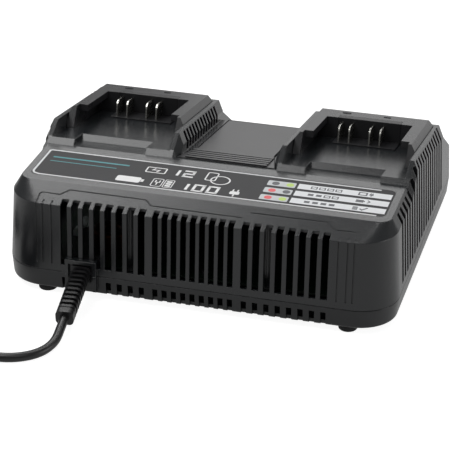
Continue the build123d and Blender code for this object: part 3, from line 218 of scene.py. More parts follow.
def mouldedRubber(name, look):
    # rubber, PVC and other even surfaces: slightly blotched, no grain
    material, tree, place = newMaterial(name)
    blotch = addNode(tree, "ShaderNodeTexNoise", {
        "Vector": place, "Scale": textureScale(rubberPattern["blotch"]), "Detail": 4.0})
    skin = addNode(tree, "ShaderNodeTexNoise", {
        "Vector": place, "Scale": textureScale(rubberPattern["skin"]), "Detail": 2.0})
    tint = addNode(tree, "ShaderNodeMix", {
        "Factor": blotch.outputs["Fac"], 6: hexColour(look["dark"]), 7: hexColour(look["light"])},
        data_type="RGBA")
    rough = addNode(tree, "ShaderNodeMapRange", {
        "Value": blotch.outputs["Fac"], "To Min": look["roughness"] - rubberPattern["drift"],
        "To Max": look["roughness"] + rubberPattern["drift"]})
    bump = addNode(tree, "ShaderNodeBump", {
        "Height": skin.outputs["Fac"], "Strength": 0.2, "Distance": mm(rubberPattern["depth"])})
    shader = addNode(tree, "ShaderNodeBsdfPrincipled", {
        "Base Color": tint.outputs[2], "IOR": 1.5, "Roughness": rough.outputs["Result"],
        "Normal": bump.outputs["Normal"]})
    finishMaterial(tree, shader)
    return material


def solderMask(name, look):
    # green lacquer on a glass-epoxy board: copper tracks under it show lighter and raised
    material, tree, place = newMaterial(name)
    tracks = addNode(tree, "ShaderNodeTexBrick", {
        "Vector": place, "Scale": textureScale(boardPattern["track"]),
        "Mortar Size": boardPattern["gapWidth"], "Color1": hexColour(look["dark"]),
        "Color2": hexColour(look["light"]), "Mortar": hexColour(look["gap"])}, offset=0.3)
    bump = addNode(tree, "ShaderNodeBump", {
        "Height": tracks.outputs["Fac"], "Strength": 0.2, "Distance": mm(boardPattern["depth"])},
        invert=True)
    shader = addNode(tree, "ShaderNodeBsdfPrincipled", {
        "Base Color": tracks.outputs["Color"], "Roughness": look["roughness"],
        "Normal": bump.outputs["Normal"]})
    finishMaterial(tree, shader)
    return material


def screenInk(name, look):
    # screen-printed ink: opaque, satin, a little uneven from the mesh it is pressed through
    material, tree, place = newMaterial(name)
    mesh = addNode(tree, "ShaderNodeTexNoise", {
        "Vector": place, "Scale": textureScale(inkPattern["mesh"]), "Detail": 3.0})
    tint = addNode(tree, "ShaderNodeMix", {
        "Factor": mesh.outputs["Fac"], 6: hexColour(look["dark"]), 7: hexColour(look["light"])},
        data_type="RGBA")
    shader = addNode(tree, "ShaderNodeBsdfPrincipled", {
        "Base Color": tint.outputs[2], "Roughness": look["roughness"]})
    finishMaterial(tree, shader)
    return material


def smokedPolycarbonate(name, look):
    # small smoked light guides, moulded matt: near black while the lamps under them are off
    material, tree, place = newMaterial(name)
    smoke = addNode(tree, "ShaderNodeTexNoise", {
        "Vector": place, "Scale": textureScale(lensPattern["smoke"]), "Detail": 1.0})
    tint = addNode(tree, "ShaderNodeMix", {
        "Factor": smoke.outputs["Fac"], 6: hexColour(look["dark"]), 7: hexColour(look["light"])},
        data_type="RGBA")
    shader = addNode(tree, "ShaderNodeBsdfPrincipled", {
        "Base Color": tint.outputs[2], "Roughness": look["roughness"], "IOR": 1.58,
        "Specular IOR Level": look["specular"]})
    finishMaterial(tree, shader)
    return material


plastics = {
    # black ABS: satin, soft highlights along the edges
    "shellAbs": {"dark": "#1b1d1f", "light": "#212325", "roughness": 0.25, "specular": 0.5,
                 "grain": 0.55, "bump": 0.35, "edge": 0.7,
                 "dockFloor": {"level": 70.27, "within": 0.2, "roughness": 0.2}},
    # the same ABS coloured darker as painted shade for the shadow the lower housing sits in, and a
    # little duller
    "baseAbs": {"dark": "#17191b", "light": "#1c1e20", "roughness": 0.28, "specular": 0.45,
                "grain": 0.55, "bump": 0.35, "edge": 0.6},
    # flat ABS plate: a finer, slightly lighter grain
    "panelAbs": {"dark": "#212123", "light": "#272729", "roughness": 0.3, "specular": 0.45,
                 "grain": 0.5, "bump": 0.3, "edge": 0.4},
    # glass-filled nylon: a touch greyer, worn smooth by the batteries
    "collarNylon": {"dark": "#202022", "light": "#262628", "roughness": 0.28, "specular": 0.4,
                    "grain": 0.5, "bump": 0.25, "edge": 0.5},
    # the same nylon left matt round the blades
    "blockNylon": {"dark": "#18181a", "light": "#1d1d1f", "roughness": 0.42, "specular": 0.3,
                   "grain": 0.5, "bump": 0.25, "edge": 0.3},
    # textured polycarbonate film: flat charcoal, hardly any shine
    "labelFilm": {"dark": "#272729", "light": "#2b2b2d", "roughness": 0.56, "specular": 0.3,
                  "grain": 0.35, "bump": 0.15, "edge": 0.2},
    # PVC moulded over the pins: rounded and dull
    "plugPlastic": {"dark": "#1d1d1f", "light": "#232325", "roughness": 0.42, "specular": 0.4,
                    "grain": 0.6, "bump": 0.3, "edge": 0.8},
    # glass-filled polyester: dull black
    "fanPlastic": {"dark": "#161618", "light": "#1c1c1e", "roughness": 0.4, "specular": 0.35,
                   "grain": 0.5, "bump": 0.2, "edge": 0.3},
    # painted shadow of the panel's joint, laid over the panel as a thin strip: black, no shine
    "jointSeal": {"dark": "#09090a", "light": "#0d0d0e", "roughness": 0.85, "specular": 0.05,
                  "grain": 0.4, "bump": 0.1, "edge": 0.05},
    # moulded epoxy: charcoal and slightly chalky
    "mouldedResin": {"dark": "#141416", "light": "#1a1a1c", "roughness": 0.5, "specular": 0.3,
                     "grain": 0.4, "bump": 0.3, "edge": 0.2},
}
metals = {
    # lines: how often the drawn lines change in a metre along X, Y and Z
    # tin over copper: soft silver with a warm cast, fine level lines across the blade
    "tinnedCopper": {"dark": "#a9a8a2", "light": "#cfcec8", "roughness": 0.24,
                     "lines": (60, 60, 2500)},
    # nickel over brass: pale, bright, slightly yellow
    "nickelledBrass": {"dark": "#c9c4b4", "light": "#ddd8c8", "roughness": 0.22,
                       "lines": (1800, 60, 1800)},
    # zinc plate: mid grey, a little clouded
    "zincSteel": {"dark": "#6f6f72", "light": "#7e7e82", "roughness": 0.32,
                  "lines": (900, 900, 300)},
    # black anodised extrusion: dark with upright die lines
    "blackAluminium": {"dark": "#1d1d1f", "light": "#262628", "roughness": 0.42,
                       "lines": (2200, 2200, 60)},
    # aluminium can in a dark blue sleeve
    "sleevedAluminium": {"dark": "#10131f", "light": "#161a29", "roughness": 0.4,
                         "lines": (400, 400, 60)},
    # enamelled winding wire under varnish: copper darkened to a deep red brown as painted shade for
    # the dark inside of the housing, with fine turns
    "varnishedCopper": {"dark": "#2b1508", "light": "#3a1d0c", "roughness": 0.35,
                        "lines": (900, 900, 1600)},
    # drawn steel shell: bright and even
    "springSteel": {"dark": "#b8b8ba", "light": "#cacacc", "roughness": 0.25,
                    "lines": (60, 1800, 1800)},
}
rubbers = {
    # nitrile rubber: matt charcoal
    "footRubber": {"dark": "#171718", "light": "#1e1e1f", "roughness": 0.75},
    # soft PVC, moulded: black, half dull
    "guardPvc": {"dark": "#111113", "light": "#161618", "roughness": 0.42},
    # extruded PVC: black with a long highlight
    "cordPvc": {"dark": "#0d0d0e", "light": "#121213", "roughness": 0.36},
    # coloured PVC over wire: dull deep red
    "redWirePvc": {"dark": "#571010", "light": "#651616", "roughness": 0.4},
    # fired ferrite: charcoal, dusty
    "sinteredFerrite": {"dark": "#151517", "light": "#1d1d20", "roughness": 0.6},
    # clear glass tube over a white filling: pale grey green, shiny
    "glassTube": {"dark": "#b9c2c0", "light": "#cdd6d4", "roughness": 0.15},
}
boards = {
    # lacquer: bottle green darkened to near black as painted shade for the dark inside of the
    # housing, with a clean shine
    "boardLacquer": {"dark": "#06170d", "light": "#091e11", "gap": "#040e08", "roughness": 0.3},
}
lenses = {
    # dark smoke: no shine, no colour of its own
    "lensPolycarbonate": {"dark": "#121315", "light": "#191a1c", "roughness": 0.5, "specular": 0.1},
}
inks = {
    # outline: cool light grey, as bright as brushed metal
    "silverInk": {"dark": "#cfd0d1", "light": "#dbdcdd", "roughness": 0.4},
    # numerals and pictograms: the brightest print
    "whiteInk": {"dark": "#dedede", "light": "#e8e8e8", "roughness": 0.42},
    # bars of the status rows: a bluish white, just off the signs' white
    "paleInk": {"dark": "#d6d8da", "light": "#e1e3e5", "roughness": 0.42},
    # cells under the dots: one step greyer than the bars
    "greyInk": {"dark": "#babdbf", "light": "#c6c9cb", "roughness": 0.42},
    # dots: soft lime green, soft red, and charcoal for a lamp that is off
    "greenInk": {"dark": "#b3cf62", "light": "#bfd96c", "roughness": 0.4},
    "redInk": {"dark": "#d94b50", "light": "#e2575a", "roughness": 0.4},
    "smokeInk": {"dark": "#4a4c50", "light": "#54565a", "roughness": 0.4},
    # stripes: dull teal
    "tealInk": {"dark": "#2f7f86", "light": "#3a8c93", "roughness": 0.42},
}
finishes = {}
for makeFinish, looks in ((sparkErodedAbs, plastics), (plainMetal, metals),
                          (mouldedRubber, rubbers), (solderMask, boards),
                          (smokedPolycarbonate, lenses), (screenInk, inks)):
    finishes.update({name: makeFinish(name, look) for name, look in looks.items()})

nodeFinish = {
    "upper_housing": "shellAbs",
    "lower_housing": "baseAbs",
    "centre_panel": "panelAbs",
    "label_sheet": "labelFilm",
    "left_dock_collar": "collarNylon",
    "right_dock_collar": "collarNylon",
    "left_terminal_block": "blockNylon",
    "right_terminal_block": "blockNylon",
    "left_terminal_blades": "tinnedCopper",
    "right_terminal_blades": "tinnedCopper",
    "left_led_lenses": "lensPolycarbonate",
    "right_led_lenses": "lensPolycarbonate",
    "left_led_board": "boardLacquer",
    "right_led_board": "boardLacquer",
    "main_board": "boardLacquer",
    "left_dock_leads": "redWirePvc",
    "right_dock_leads": "redWirePvc",
    "rubber_feet": "footRubber",
    "housing_screws": "zincSteel",
    "board_screws": "zincSteel",
    "clamp_screws": "zincSteel",
    "transformer_core": "sinteredFerrite",
    "transformer_winding": "varnishedCopper",
    "choke": "varnishedCopper",
    "bulk_capacitors": "sleevedAluminium",
    "left_heat_sink": "blackAluminium",
    "right_heat_sink": "blackAluminium",
    "power_transistors": "mouldedResin",
    "mains_fuse": "glassTube",
    "cord_clamp": "mouldedResin",
    "fan_frame": "fanPlastic",
    "fan_rotor": "fanPlastic",
    "usb_socket": "springSteel",
    "strain_relief": "guardPvc",
    "mains_plug_body": "plugPlastic",
    "mains_plug_pins": "nickelledBrass",
}
for node, finish in nodeFinish.items():
    item = bpy.data.objects[node]
    item.data.materials.clear()
    item.data.materials.append(finishes[finish])
print("materials on", len(nodeFinish), "nodes")


def addPiece(name, data):
    item = bpy.data.objects.new(name, data)
    bpy.context.scene.collection.objects.link(item)
    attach(item, "charger")
    return item


def addForm(name, form, finish):
    bmesh.ops.recalc_face_normals(form, faces=form.faces)
    mesh = bpy.data.meshes.new(name)
    form.to_mesh(mesh)
    form.free()
    mesh.materials.append(finishes[finish])
    addPiece(name, mesh)


# mains cord: one smooth line from the guard through the coil to the plug

cord = {
    "diameter": 6.0,
    "length": 1.69,
    "route": (
        (-70.49, -158.28, 9.98), (-69.6, -168.07, 8.17), (-69.3, -179.5, 4.4),
        (-73.7, -191.7, 3.05), (-83.4, -201.3, 3.05), (-96.2, -205.6, 3.05),
        (-109.6, -204.2, 3.05), (-124.0, -200.0, 3.05), (-137.0, -200.0, 3.05),
        (-150.0, -200.0, 3.05),
    ),
    "coilCentre": (-163.0, -158.0),
    "outerRadius": 42.0,
    "floorGap": 0.05,
    "ringsWide": 4,
    "turns": 7.25,
    "pointsPerTurn": 16,
    "stepIn": 0.75,  # turns to the first step inwards, then one a turn
    "climb": 3.5,  # turns to the step up
    "stepOut": 4.25,  # turns to the first step outwards, then one a turn
    "stepLength": 0.25,  # turns that a step takes
    "tail": (
        (-205.0, -145.0, 9.05), (-205.0, -132.0, 9.05), (-205.0, -124.5, 9.05),
        (-205.0, -117.0, 8.23), (-205.0, -109.5, 7.0), (-205.0, -102.0, 7.0),
    ),
}


def coilPoint(turn):
    # radius and height of the cord: inwards on the floor, up, outwards on top
    def stepped(start):
        return min(1.0, max(0.0, (turn - start) / cord["stepLength"]))

    steps = range(cord["ringsWide"] - 1)
    inwards = sum(stepped(cord["stepIn"] + k) for k in steps)
    outwards = sum(stepped(cord["stepOut"] + k) for k in steps)
    radius = cord["outerRadius"] + cord["diameter"] * (outwards - inwards)
    low = cord["diameter"] / 2 + cord["floorGap"]
    return radius, low + cord["diameter"] * stepped(cord["climb"])


def cordPoints():
    points = list(cord["route"])
    centreX, centreY = cord["coilCentre"]
    count = cord["pointsPerTurn"]
    swell = 1 / (0.5 + 0.5 * cos(pi / count))  # the spline runs a little inside its points
    for i in range(int(cord["turns"] * count) + 1):
        radius, height = coilPoint(i / count)
        angle = -pi / 2 - 2 * pi * i / count
        points.append((centreX + radius * swell * cos(angle),
                       centreY + radius * swell * sin(angle), height))
    return points + list(cord["tail"])


cordCurve = bpy.data.curves.new("mainsCord", "CURVE")
cordCurve.dimensions = "3D"
cordSpline = cordCurve.splines.new("NURBS")
cordLine = cordPoints()
cordSpline.points.add(len(cordLine) - 1)
for point, place in zip(cordSpline.points, cordLine):
    point.co = (*mm(*place), 1.0)
cordSpline.order_u = 3
cordSpline.use_endpoint_u = True
cordSpline.resolution_u = 5
cordCurve.bevel_depth = mm(cord["diameter"]) / 2
cordCurve.bevel_resolution = 5
cordCurve.use_fill_caps = True
cordCurve.materials.append(finishes["cordPvc"])
cordPiece = addPiece("mainsCordLine", cordCurve)
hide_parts("mains_cord", "mains_cord_coil", "mains_cord_tail")
print("cord laid")


# flat shapes, as lists of points in millimetres

def box(x0, x1, y0, y1):
    return (x0, y0), (x1, y0), (x1, y1), (x0, y1)


def roundedCorners(left, right, low, high, radius, steps=6):
    shape = []
    for cx, cy, start in ((right - radius, high - radius, 0), (left + radius, high - radius, 90),
                          (left + radius, low + radius, 180), (right - radius, low + radius, 270)):
        for i in range(steps + 1):
            angle = radians(start + 90 * i / steps)
            shape.append((cx + radius * cos(angle), cy + radius * sin(angle)))
    return shape


def circle(cx, cy, radius, count=28):
    return [(cx + radius * cos(2 * pi * i / count), cy + radius * sin(2 * pi * i / count))
            for i in range(count)]


def strip(points, width, closed=False):
    # quads along a line of points, mitred at the corners
    sharpest = 0.5  # a mitre reaches no further than twice the half width
    count = len(points)
    sides = []
    for i in range(count):
        here = Vector(points[i])
        ways = []
        if i or closed:
            ways.append((here - Vector(points[i - 1])).normalized())
        if i < count - 1 or closed:
            ways.append((Vector(points[(i + 1) % count]) - here).normalized())
        mean = sum(ways, Vector((0, 0))).normalized()
        normal = Vector((-mean.y, mean.x))
        reach = width / 2 / max(sharpest, normal.dot(Vector((-ways[0].y, ways[0].x))))
        sides.append((here + normal * reach, here - normal * reach))
    last = count if closed else count - 1
    return [(sides[i][0], sides[(i + 1) % count][0], sides[(i + 1) % count][1], sides[i][1])
            for i in range(last)]


# label: outline, stripes and status rows, printed in raised ink

label = {
    "level": 72.8,  # top of the sheet
    "lift": 0.01,  # ink over the sheet
    "secondLift": 0.075,  # ink over the rows
    "ink": 0.06,  # thickness
    "lineWidth": 1.35,
    "outline": ((108.5, -45.9), (-116.2, -45.2), (-117.3, -46.2), (-117.3, -80.2),
                (-115.9, -82.9), (-112.0, -84.2), (112.5, -84.2)),
    "stripes": ((-112.0, -59.0, -56.4, -54.6), (-112.0, -66.0, -62.4, -61.5)),
    "rowLevels": (-54.9, -65.9, -77.1),
    "rowHeight": 7.6,
    "cell": (35.0, 53.6),
    "cellCorner": 1.0,
    "bar": (55.3, 117.0),
}


def addMarks(name, ink, shapes, lift=label["lift"]):
    # closed shapes, raised by the thickness of the ink
    form = bmesh.new()
    for shape in shapes:
        face = form.faces.new([form.verts.new(mm(x, y, label["level"] + lift)) for x, y in shape])
        face.normal_update()
        if face.normal.z < 0:
            face.normal_flip()
        raised = bmesh.ops.extrude_face_region(form, geom=[face])
        tops = [v for v in raised["geom"] if isinstance(v, bmesh.types.BMVert)]
        bmesh.ops.translate(form, verts=tops, vec=(0, 0, mm(label["ink"])))
    addForm(name, form, ink)


halfRow = label["rowHeight"] / 2
addMarks("labelOutline", "silverInk", strip(label["outline"], label["lineWidth"]))
addMarks("labelStripes", "tealInk", [box(*stripe) for stripe in label["stripes"]])
addMarks("labelRowCells", "greyInk", [
    roundedCorners(*label["cell"], y - halfRow, y + halfRow, label["cellCorner"], 3)
    for y in label["rowLevels"]])
addMarks("labelRowBars", "paleInk", [
    box(*label["bar"], y - halfRow, y + halfRow) for y in label["rowLevels"]])
print("label marks made")


# what repeats: one shape on each point of a cloud

def newTool(name, sizes, finishSocket):
    # node group that takes the points, the sizes and the finish
    tree = bpy.data.node_groups.new(name, "GeometryNodeTree")
    face = tree.interface
    face.new_socket("Geometry", in_out="INPUT", socket_type="NodeSocketGeometry")
    face.new_socket("Geometry", in_out="OUTPUT", socket_type="NodeSocketGeometry")
    for socket, value in sizes.items():
        item = face.new_socket(socket, in_out="INPUT", socket_type="NodeSocketFloat")
        item.default_value = value
    face.new_socket(finishSocket, in_out="INPUT", socket_type="NodeSocketMaterial")
    return tree, addNode(tree, "NodeGroupInput").outputs


def setOnPoints(tree, entry, finishSocket, instance):
    # the shape on every point, made real and given its finish
    points = addNode(tree, "GeometryNodeMeshToPoints", {"Mesh": entry["Geometry"]})
    spread = addNode(tree, "GeometryNodeInstanceOnPoints", {
        "Points": points.outputs[0], **instance})
    real = addNode(tree, "GeometryNodeRealizeInstances", {0: spread.outputs[0]})
    made = addNode(tree, "GeometryNodeSetMaterial", {
        "Geometry": real.outputs[0], "Material": entry[finishSocket]})
    addNode(tree, "NodeGroupOutput", {0: made.outputs[0]})


def runTool(tree, name, places, values):
    # cloud of points in millimetres, through the tree, to a plain mesh
    cloud = bpy.data.meshes.new(name + "Points")
    cloud.from_pydata([mm(*p) for p in places], [], [])
    host = bpy.data.objects.new(name + "Host", cloud)
    bpy.context.scene.collection.objects.link(host)
    modifier = host.modifiers.new("tree", "NODES")
    modifier.node_group = tree
    sockets = {s.name: s.identifier for s in tree.interface.items_tree if s.in_out == "INPUT"}
    for key, value in values.items():
        modifier[sockets[key]] = value
    graph = bpy.context.evaluated_depsgraph_get()
    mesh = bpy.data.meshes.new_from_object(host.evaluated_get(graph))
    bpy.data.objects.remove(host)
    addPiece(name, mesh)


# dots of the status rows: small discs, raised over their cells

dots = {
    "marks": (("smokeInk", "greenInk"), ("redInk", "smokeInk"), ("redInk", "greenInk")),
    "places": (40.4, 50.0),
    "halfWidth": 2.5,
    "halfHeight": 2.6,
    "thickness": 0.1,
    "lift": 0.08,
    "corners": 28,
}
dotSizes = {"Half Width": mm(dots["halfWidth"]), "Half Height": mm(dots["halfHeight"]),
            "Thickness": mm(dots["thickness"])}


def dotTree():
    tree, entry = newTool("statusDots", dotSizes, "Ink")
    disc = addNode(tree, "GeometryNodeMeshCylinder", {
        "Vertices": dots["corners"], "Radius": 1.0, "Depth": entry["Thickness"]})
    size = addNode(tree, "ShaderNodeCombineXYZ", {
        0: entry["Half Width"], 1: entry["Half Height"], 2: 1.0})
    setOnPoints(tree, entry, "Ink", {"Instance": disc.outputs["Mesh"], "Scale": size.outputs[0]})
    return tree


dotTool = dotTree()
for ink in ("smokeInk", "greenInk", "redInk"):
    places = [(x, y, label["level"] + dots["lift"])
              for y, marks in zip(label["rowLevels"], dots["marks"])
              for x, mark in zip(dots["places"], marks) if mark == ink]
    runTool(dotTool, ink + "Dots", places, {**dotSizes, "Ink": finishes[ink]})


# numerals and pictograms of the label

numeral = {
    "width": 0.66,  # this and the next two are shares of the height
    "stroke": 0.21,
    "lean": 0.03,
    "bars": {
        "a": ((0, 1), (1, 1)), "b": ((1, 1), (1, 0.5)), "c": ((1, 0.5), (1, 0)),
        "d": ((0, 0), (1, 0)), "e": ((0, 0.5), (0, 0)), "f": ((0, 1), (0, 0.5)),
        "g": ((0, 0.5), (1, 0.5)),
    },
    "lit": {"0": "abcdef", "1": "bc", "2": "abged"},
}
signs = {
    # digit, left, foot and height
    "numerals": (("1", -30.6, -61.4, 8.6), ("2", -20.6, -61.4, 8.6), ("1", -19.6, -81.0, 9.0),
                 ("0", -9.0, -81.0, 9.0), ("0", 0.6, -81.0, 9.0)),
    # left, right, low and high
    "battery": (-61.8, -43.2, -79.6, -71.4),
    "boltFrame": (-46.4, -33.4, -61.2, -53.4),
    "forkCard": (-37.4, -30.6, -81.4, -69.8),
    "stackCard": (-29.2, -23.4, -81.4, -69.8),
    "pack": (-5.6, 1.2, -62.6, -50.6),
    # middle, and radius of the ring
    "ring": (4.6, -61.0, 6.3),
    "plug": (18.2, -77.0),
    "stroke": 0.9,
    "cardStroke": 0.6,
    "forkStroke": 0.8,
    "ringStroke": 1.0,
}


def numeralBars(digit, x, y, height):
    # a plain slanted numeral of straight strokes
    width, lean = height * numeral["width"], numeral["lean"]
    half = height * numeral["stroke"] / 2
    shapes = []
    for key in numeral["lit"][digit]:
        (ax, ay), (bx, by) = [(x + width * px + lean * height * py, y + height * py)
                              for px, py in numeral["bars"][key]]
        if ay == by:
            ax, bx = ax - half, bx + half
            shapes.append(((ax - half * lean, ay - half), (bx - half * lean, by - half),
                           (bx + half * lean, by + half), (ax + half * lean, ay + half)))
        else:
            shapes.append(((ax - half, ay), (ax + half, ay), (bx + half, by), (bx - half, by)))
    return shapes


def batterySign(x0, x1, y0, y1):
    # solid cell with its pole at the right
    return [roundedCorners(x0, x1 - 2.2, y0, y1, 1.6), box(x1 - 1.9, x1, y0 + 2.2, y1 - 2.2)]


def boltSign(x0, x1, y0, y1):
    # open frame with a bolt in it
    bolt = ((x0 + 5.6, y1 - 1.4), (x0 + 4.0, y0 + 3.8), (x1 - 4.2, y0 + 4.4), (x1 - 5.8, y0 + 1.4))
    return (strip(roundedCorners(x0, x1, y0, y1, 0.8, 3), signs["stroke"], closed=True)
            + strip(bolt, signs["stroke"]))


def forkSign(x0, x1, y0, y1):
    # card with a two-pronged fork
    prongs = ((x0 + 2.0, y1 - 2.4), (x0 + 2.0, y1 - 5.4),
              (x1 - 2.0, y1 - 5.4), (x1 - 2.0, y1 - 2.4))
    middle, half = (x0 + x1) / 2, signs["forkStroke"] / 2
    return (strip(roundedCorners(x0, x1, y0, y1, 1.4, 3), signs["cardStroke"], closed=True)
            + strip(prongs, signs["forkStroke"])
            + [box(middle - half, middle + half, y0 + 2.2, y1 - 5.6)])


def stackSign(x0, x1, y0, y1):
    # card with three bars
    return (strip(roundedCorners(x0, x1, y0, y1, 0.8, 3), signs["cardStroke"], closed=True)
            + [box(x0 + 1.1, x1 - 1.1, y0 + 1.4 + 3.1 * k, y0 + 3.7 + 3.1 * k) for k in range(3)])


def plugSign(x, y):
    # body, two pins and the lead
    return [roundedCorners(x - 3.2, x + 3.2, y - 2.2, y + 2.2, 0.9, 3),
            box(x - 2.1, x - 1.1, y + 2.4, y + 5.2), box(x + 1.1, x + 2.1, y + 2.4, y + 5.2),
            box(x - 0.5, x + 0.5, y - 5.4, y - 2.4)]


white = []
for digit, x, y, height in signs["numerals"]:
    white += numeralBars(digit, x, y, height)
white += batterySign(*signs["battery"])
white += boltSign(*signs["boltFrame"])
white += forkSign(*signs["forkCard"])
white += stackSign(*signs["stackCard"])
white += strip(roundedCorners(*signs["pack"], 1.2, 3), signs["stroke"], closed=True)
white += strip(circle(*signs["ring"]), signs["ringStroke"], closed=True)
white += plugSign(*signs["plug"])
addMarks("labelSigns", "whiteInk", white)

# pictograms of the status rows: charge squares at the left, a small picture at the right

rowSigns = {
    "squares": 4,
    "filled": (0, 2, 4),  # in each row
    "left": 66.0,
    "pitch": 5.4,
    "size": 3.6,
    "flatness": 0.8,  # height of a square over its width
    "picture": 95.6,
    "stroke": 0.8,
    "displayStroke": 1.0,
    "tickStroke": 1.1,
}


def displayPicture(x, y):
    # display with a plug beside it
    return (strip(box(x, x + 5.0, y - 1.9, y + 1.9), rowSigns["displayStroke"], closed=True)
            + [box(x + 6.8, x + 9.4, y - 1.0, y + 1.0), box(x + 7.2, x + 7.8, y + 1.2, y + 2.4),
               box(x + 8.4, x + 9.0, y + 1.2, y + 2.4), box(x + 7.8, x + 8.4, y - 2.4, y - 1.1)])


def batteryPicture(x, y):
    # cell with an arrow beside it
    return ([box(x, x + 5.0, y - 1.8, y + 1.8), box(x + 5.1, x + 5.9, y - 0.8, y + 0.8)]
            + strip(((x + 7.6, y - 2.0), (x + 9.2, y), (x + 7.6, y + 2.0)), rowSigns["stroke"]))


def donePicture(x, y):
    # full stack with a tick beside it
    return ([box(x, x + 3.4, y - 2.3 + 1.7 * k, y - 1.1 + 1.7 * k) for k in range(3)]
            + strip(((x + 4.8, y - 0.2), (x + 6.4, y - 1.8), (x + 9.6, y + 2.0)),
                    rowSigns["tickStroke"]))


smoke = []
for y, filled in zip(label["rowLevels"], rowSigns["filled"]):
    side = rowSigns["size"] / 2
    flat = side * rowSigns["flatness"]
    for k in range(rowSigns["squares"]):
        x = rowSigns["left"] + rowSigns["pitch"] * k
        square = box(x - side, x + side, y - flat, y + flat)
        smoke += [square] if k < filled else strip(square, rowSigns["stroke"], closed=True)
for picture, y in zip((displayPicture, batteryPicture, donePicture), label["rowLevels"]):
    smoke += picture(rowSigns["picture"], y)
addMarks("labelRowSigns", "smokeInk", smoke, lift=label["secondLift"])
print("signs printed")


# centre panel: raised louvre slats, and a painted shadow along the joint round its edge

panel = {
    "lift": 2.5,  # where the sloping top's own lengths start
    "level": 64.3,  # top of the panel, square to the slope
    "gap": 0.01,  # pieces over the panel
    "slats": 5,
    "slatPitch": 4.7,
    "slatFront": -41.4,
    "slatLength": 56.0,
    "slatWidth": 3.0,
    "slatHeight": 0.8,
    "joint": ((-26.7, -13.4), (-26.7, 71.2), (26.7, 71.2), (26.7, -13.4)),
    "gapShadowWidth": 0.8,
    "gapShadowTop": 0.05,
}


def onSlope(across, along, high):
    # the sloping top's own lengths to the part's millimetres
    return (across, along * cos(slope) + high * sin(slope),
            high * cos(slope) - along * sin(slope) + panel["lift"])


slatSizes = {"Length": mm(panel["slatLength"]), "Width": mm(panel["slatWidth"]),
             "Height": mm(panel["slatHeight"]), "Tilt": -slope}


def slatTree():
    tree, entry = newTool("louvreSlats", slatSizes, "Plastic")
    size = addNode(tree, "ShaderNodeCombineXYZ", {
        0: entry["Length"], 1: entry["Width"], 2: entry["Height"]})
    bar = addNode(tree, "GeometryNodeMeshCube", {"Size": size.outputs[0]})
    lean = addNode(tree, "ShaderNodeCombineXYZ", {0: entry["Tilt"]})
    setOnPoints(tree, entry, "Plastic", {
        "Instance": bar.outputs["Mesh"], "Rotation": lean.outputs[0]})
    return tree


slatPlaces = [onSlope(0, panel["slatFront"] + panel["slatPitch"] * k + panel["slatWidth"] / 2,
                      panel["level"] + panel["slatHeight"] / 2 + panel["gap"])
              for k in range(panel["slats"])]
runTool(slatTree(), "louvreSlats", slatPlaces, {**slatSizes, "Plastic": finishes["panelAbs"]})


def addGapShadow():
    # painted shadow of the gap between the panel and the housing: a thin black line laid over the
    # panel
    form = bmesh.new()
    for quad in strip(panel["joint"], panel["gapShadowWidth"]):
        low, top = [[form.verts.new(mm(*onSlope(x, y, panel["level"] + high))) for x, y in quad]
                    for high in (panel["gap"], panel["gapShadowTop"])]
        form.faces.new(low)
        form.faces.new(top)
        for k in range(4):
            form.faces.new((low[k], low[(k + 1) % 4], top[(k + 1) % 4], top[k]))
    addForm("panelGapShadow", form, "jointSeal")


addGapShadow()
print("panel slats laid")


# floor and light: places and sizes in metres, power in watts

stage = {
    "floor": "#9a9a9a",
    "size": 14.0,
    "white": 0.93,  # what the camera sees of the floor, over its own colour
    "ambient": 0.05,
    "worldGloss": 0.2,  # share of the white studio in reflections
    "floorGloss": 0.45,
}
lamps = {
    "leftRear": {"place": (-0.44, 0.42, 0.975), "size": (0.5, 0.5), "power": 4.3},
    "leftFront": {"place": (-0.43, -0.43, 0.975), "size": (0.5, 0.5), "power": 4.6},
    "rightLow": {"place": (1.121, -0.098, 0.239), "size": (0.5, 0.5), "power": 2.6},
    "rightRear": {"place": (0.666, 0.666, 0.66), "size": (0.5, 0.5), "power": 1.5},
    "rear": {"place": (-0.3, 0.96, 0.56), "size": (0.7, 0.3), "power": 1.4},
    "rearLow": {"place": (0.15, 1.12, 0.22), "size": (1.0, 0.4), "power": 0.7},
    "cornerStrip": {"place": (0.21, 0.33, 1.1), "size": (0.08, 0.3), "power": 1.7},
    "frontFill": {"place": (0.253, -0.695, 0.881), "size": (0.5, 0.5), "power": 1.0},
}
studioWhite = (1, 1, 1, 1)


def backdropShare(tree, share):
    # the camera and what shows through glass see the white studio, reflections see part of it
    ways = addNode(tree, "ShaderNodeLightPath")
    gloss = addNode(tree, "ShaderNodeMath", {0: ways.outputs["Is Glossy Ray"], 1: share},
                    operation="MULTIPLY")
    clear = addNode(tree, "ShaderNodeMath", {
        0: ways.outputs["Is Camera Ray"], 1: ways.outputs["Is Transmission Ray"]},
        operation="MAXIMUM")
    return addNode(tree, "ShaderNodeMath", {0: clear.outputs[0], 1: gloss.outputs[0]},
                   operation="MAXIMUM").outputs[0]


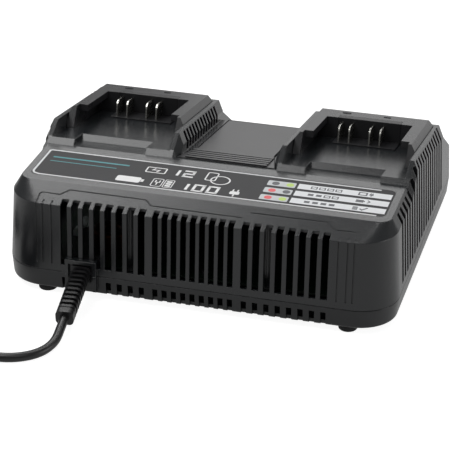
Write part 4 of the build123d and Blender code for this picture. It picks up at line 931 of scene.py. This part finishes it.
def floorMaterial():
    # seamless studio paper: seen white, with the shadow kept
    material, tree = newMaterial("studioPaper")[:2]
    paper = addNode(tree, "ShaderNodeBsdfDiffuse", {"Color": hexColour(stage["floor"])})
    glow = addNode(tree, "ShaderNodeEmission", {"Color": studioWhite, "Strength": stage["white"]})
    lit = addNode(tree, "ShaderNodeAddShader", {0: paper.outputs[0], 1: glow.outputs[0]})
    mixed = addNode(tree, "ShaderNodeMixShader", {
        0: backdropShare(tree, stage["floorGloss"]), 1: paper.outputs[0], 2: lit.outputs[0]})
    finishMaterial(tree, mixed)
    return material


def addFloor():
    half = stage["size"] / 2
    mesh = bpy.data.meshes.new("studioFloor")
    mesh.from_pydata([(x, y, 0) for x, y in box(-half, half, -half, half)], [], [(0, 1, 2, 3)])
    mesh.materials.append(floorMaterial())
    floor = bpy.data.objects.new("studioFloor", mesh)
    bpy.context.scene.collection.objects.link(floor)


def addLamps():
    # each lamp faces the middle of the part's base
    for name, lamp in lamps.items():
        data = bpy.data.lights.new(name, "AREA")
        data.shape = "RECTANGLE"
        data.size, data.size_y = lamp["size"]
        data.energy = lamp["power"]
        item = bpy.data.objects.new(name, data)
        bpy.context.scene.collection.objects.link(item)
        item.location = lamp["place"]
        item.rotation_euler = Vector(lamp["place"]).to_track_quat("Z", "Y").to_euler()


def addWorld():
    world = bpy.data.worlds.new("studio")
    world.use_nodes = True
    tree = world.node_tree
    tree.nodes.clear()
    dim = addNode(tree, "ShaderNodeBackground", {
        "Color": studioWhite, "Strength": stage["ambient"]})
    bright = addNode(tree, "ShaderNodeBackground", {"Color": studioWhite, "Strength": 1.0})
    mixed = addNode(tree, "ShaderNodeMixShader", {
        0: backdropShare(tree, stage["worldGloss"]), 1: dim.outputs[0], 2: bright.outputs[0]})
    addNode(tree, "ShaderNodeOutputWorld", {"Surface": mixed.outputs[0]})
    bpy.context.scene.world = world


addFloor()
addLamps()
addWorld()
bpy.context.scene.view_settings.view_transform = "Standard"
print("stage lit")
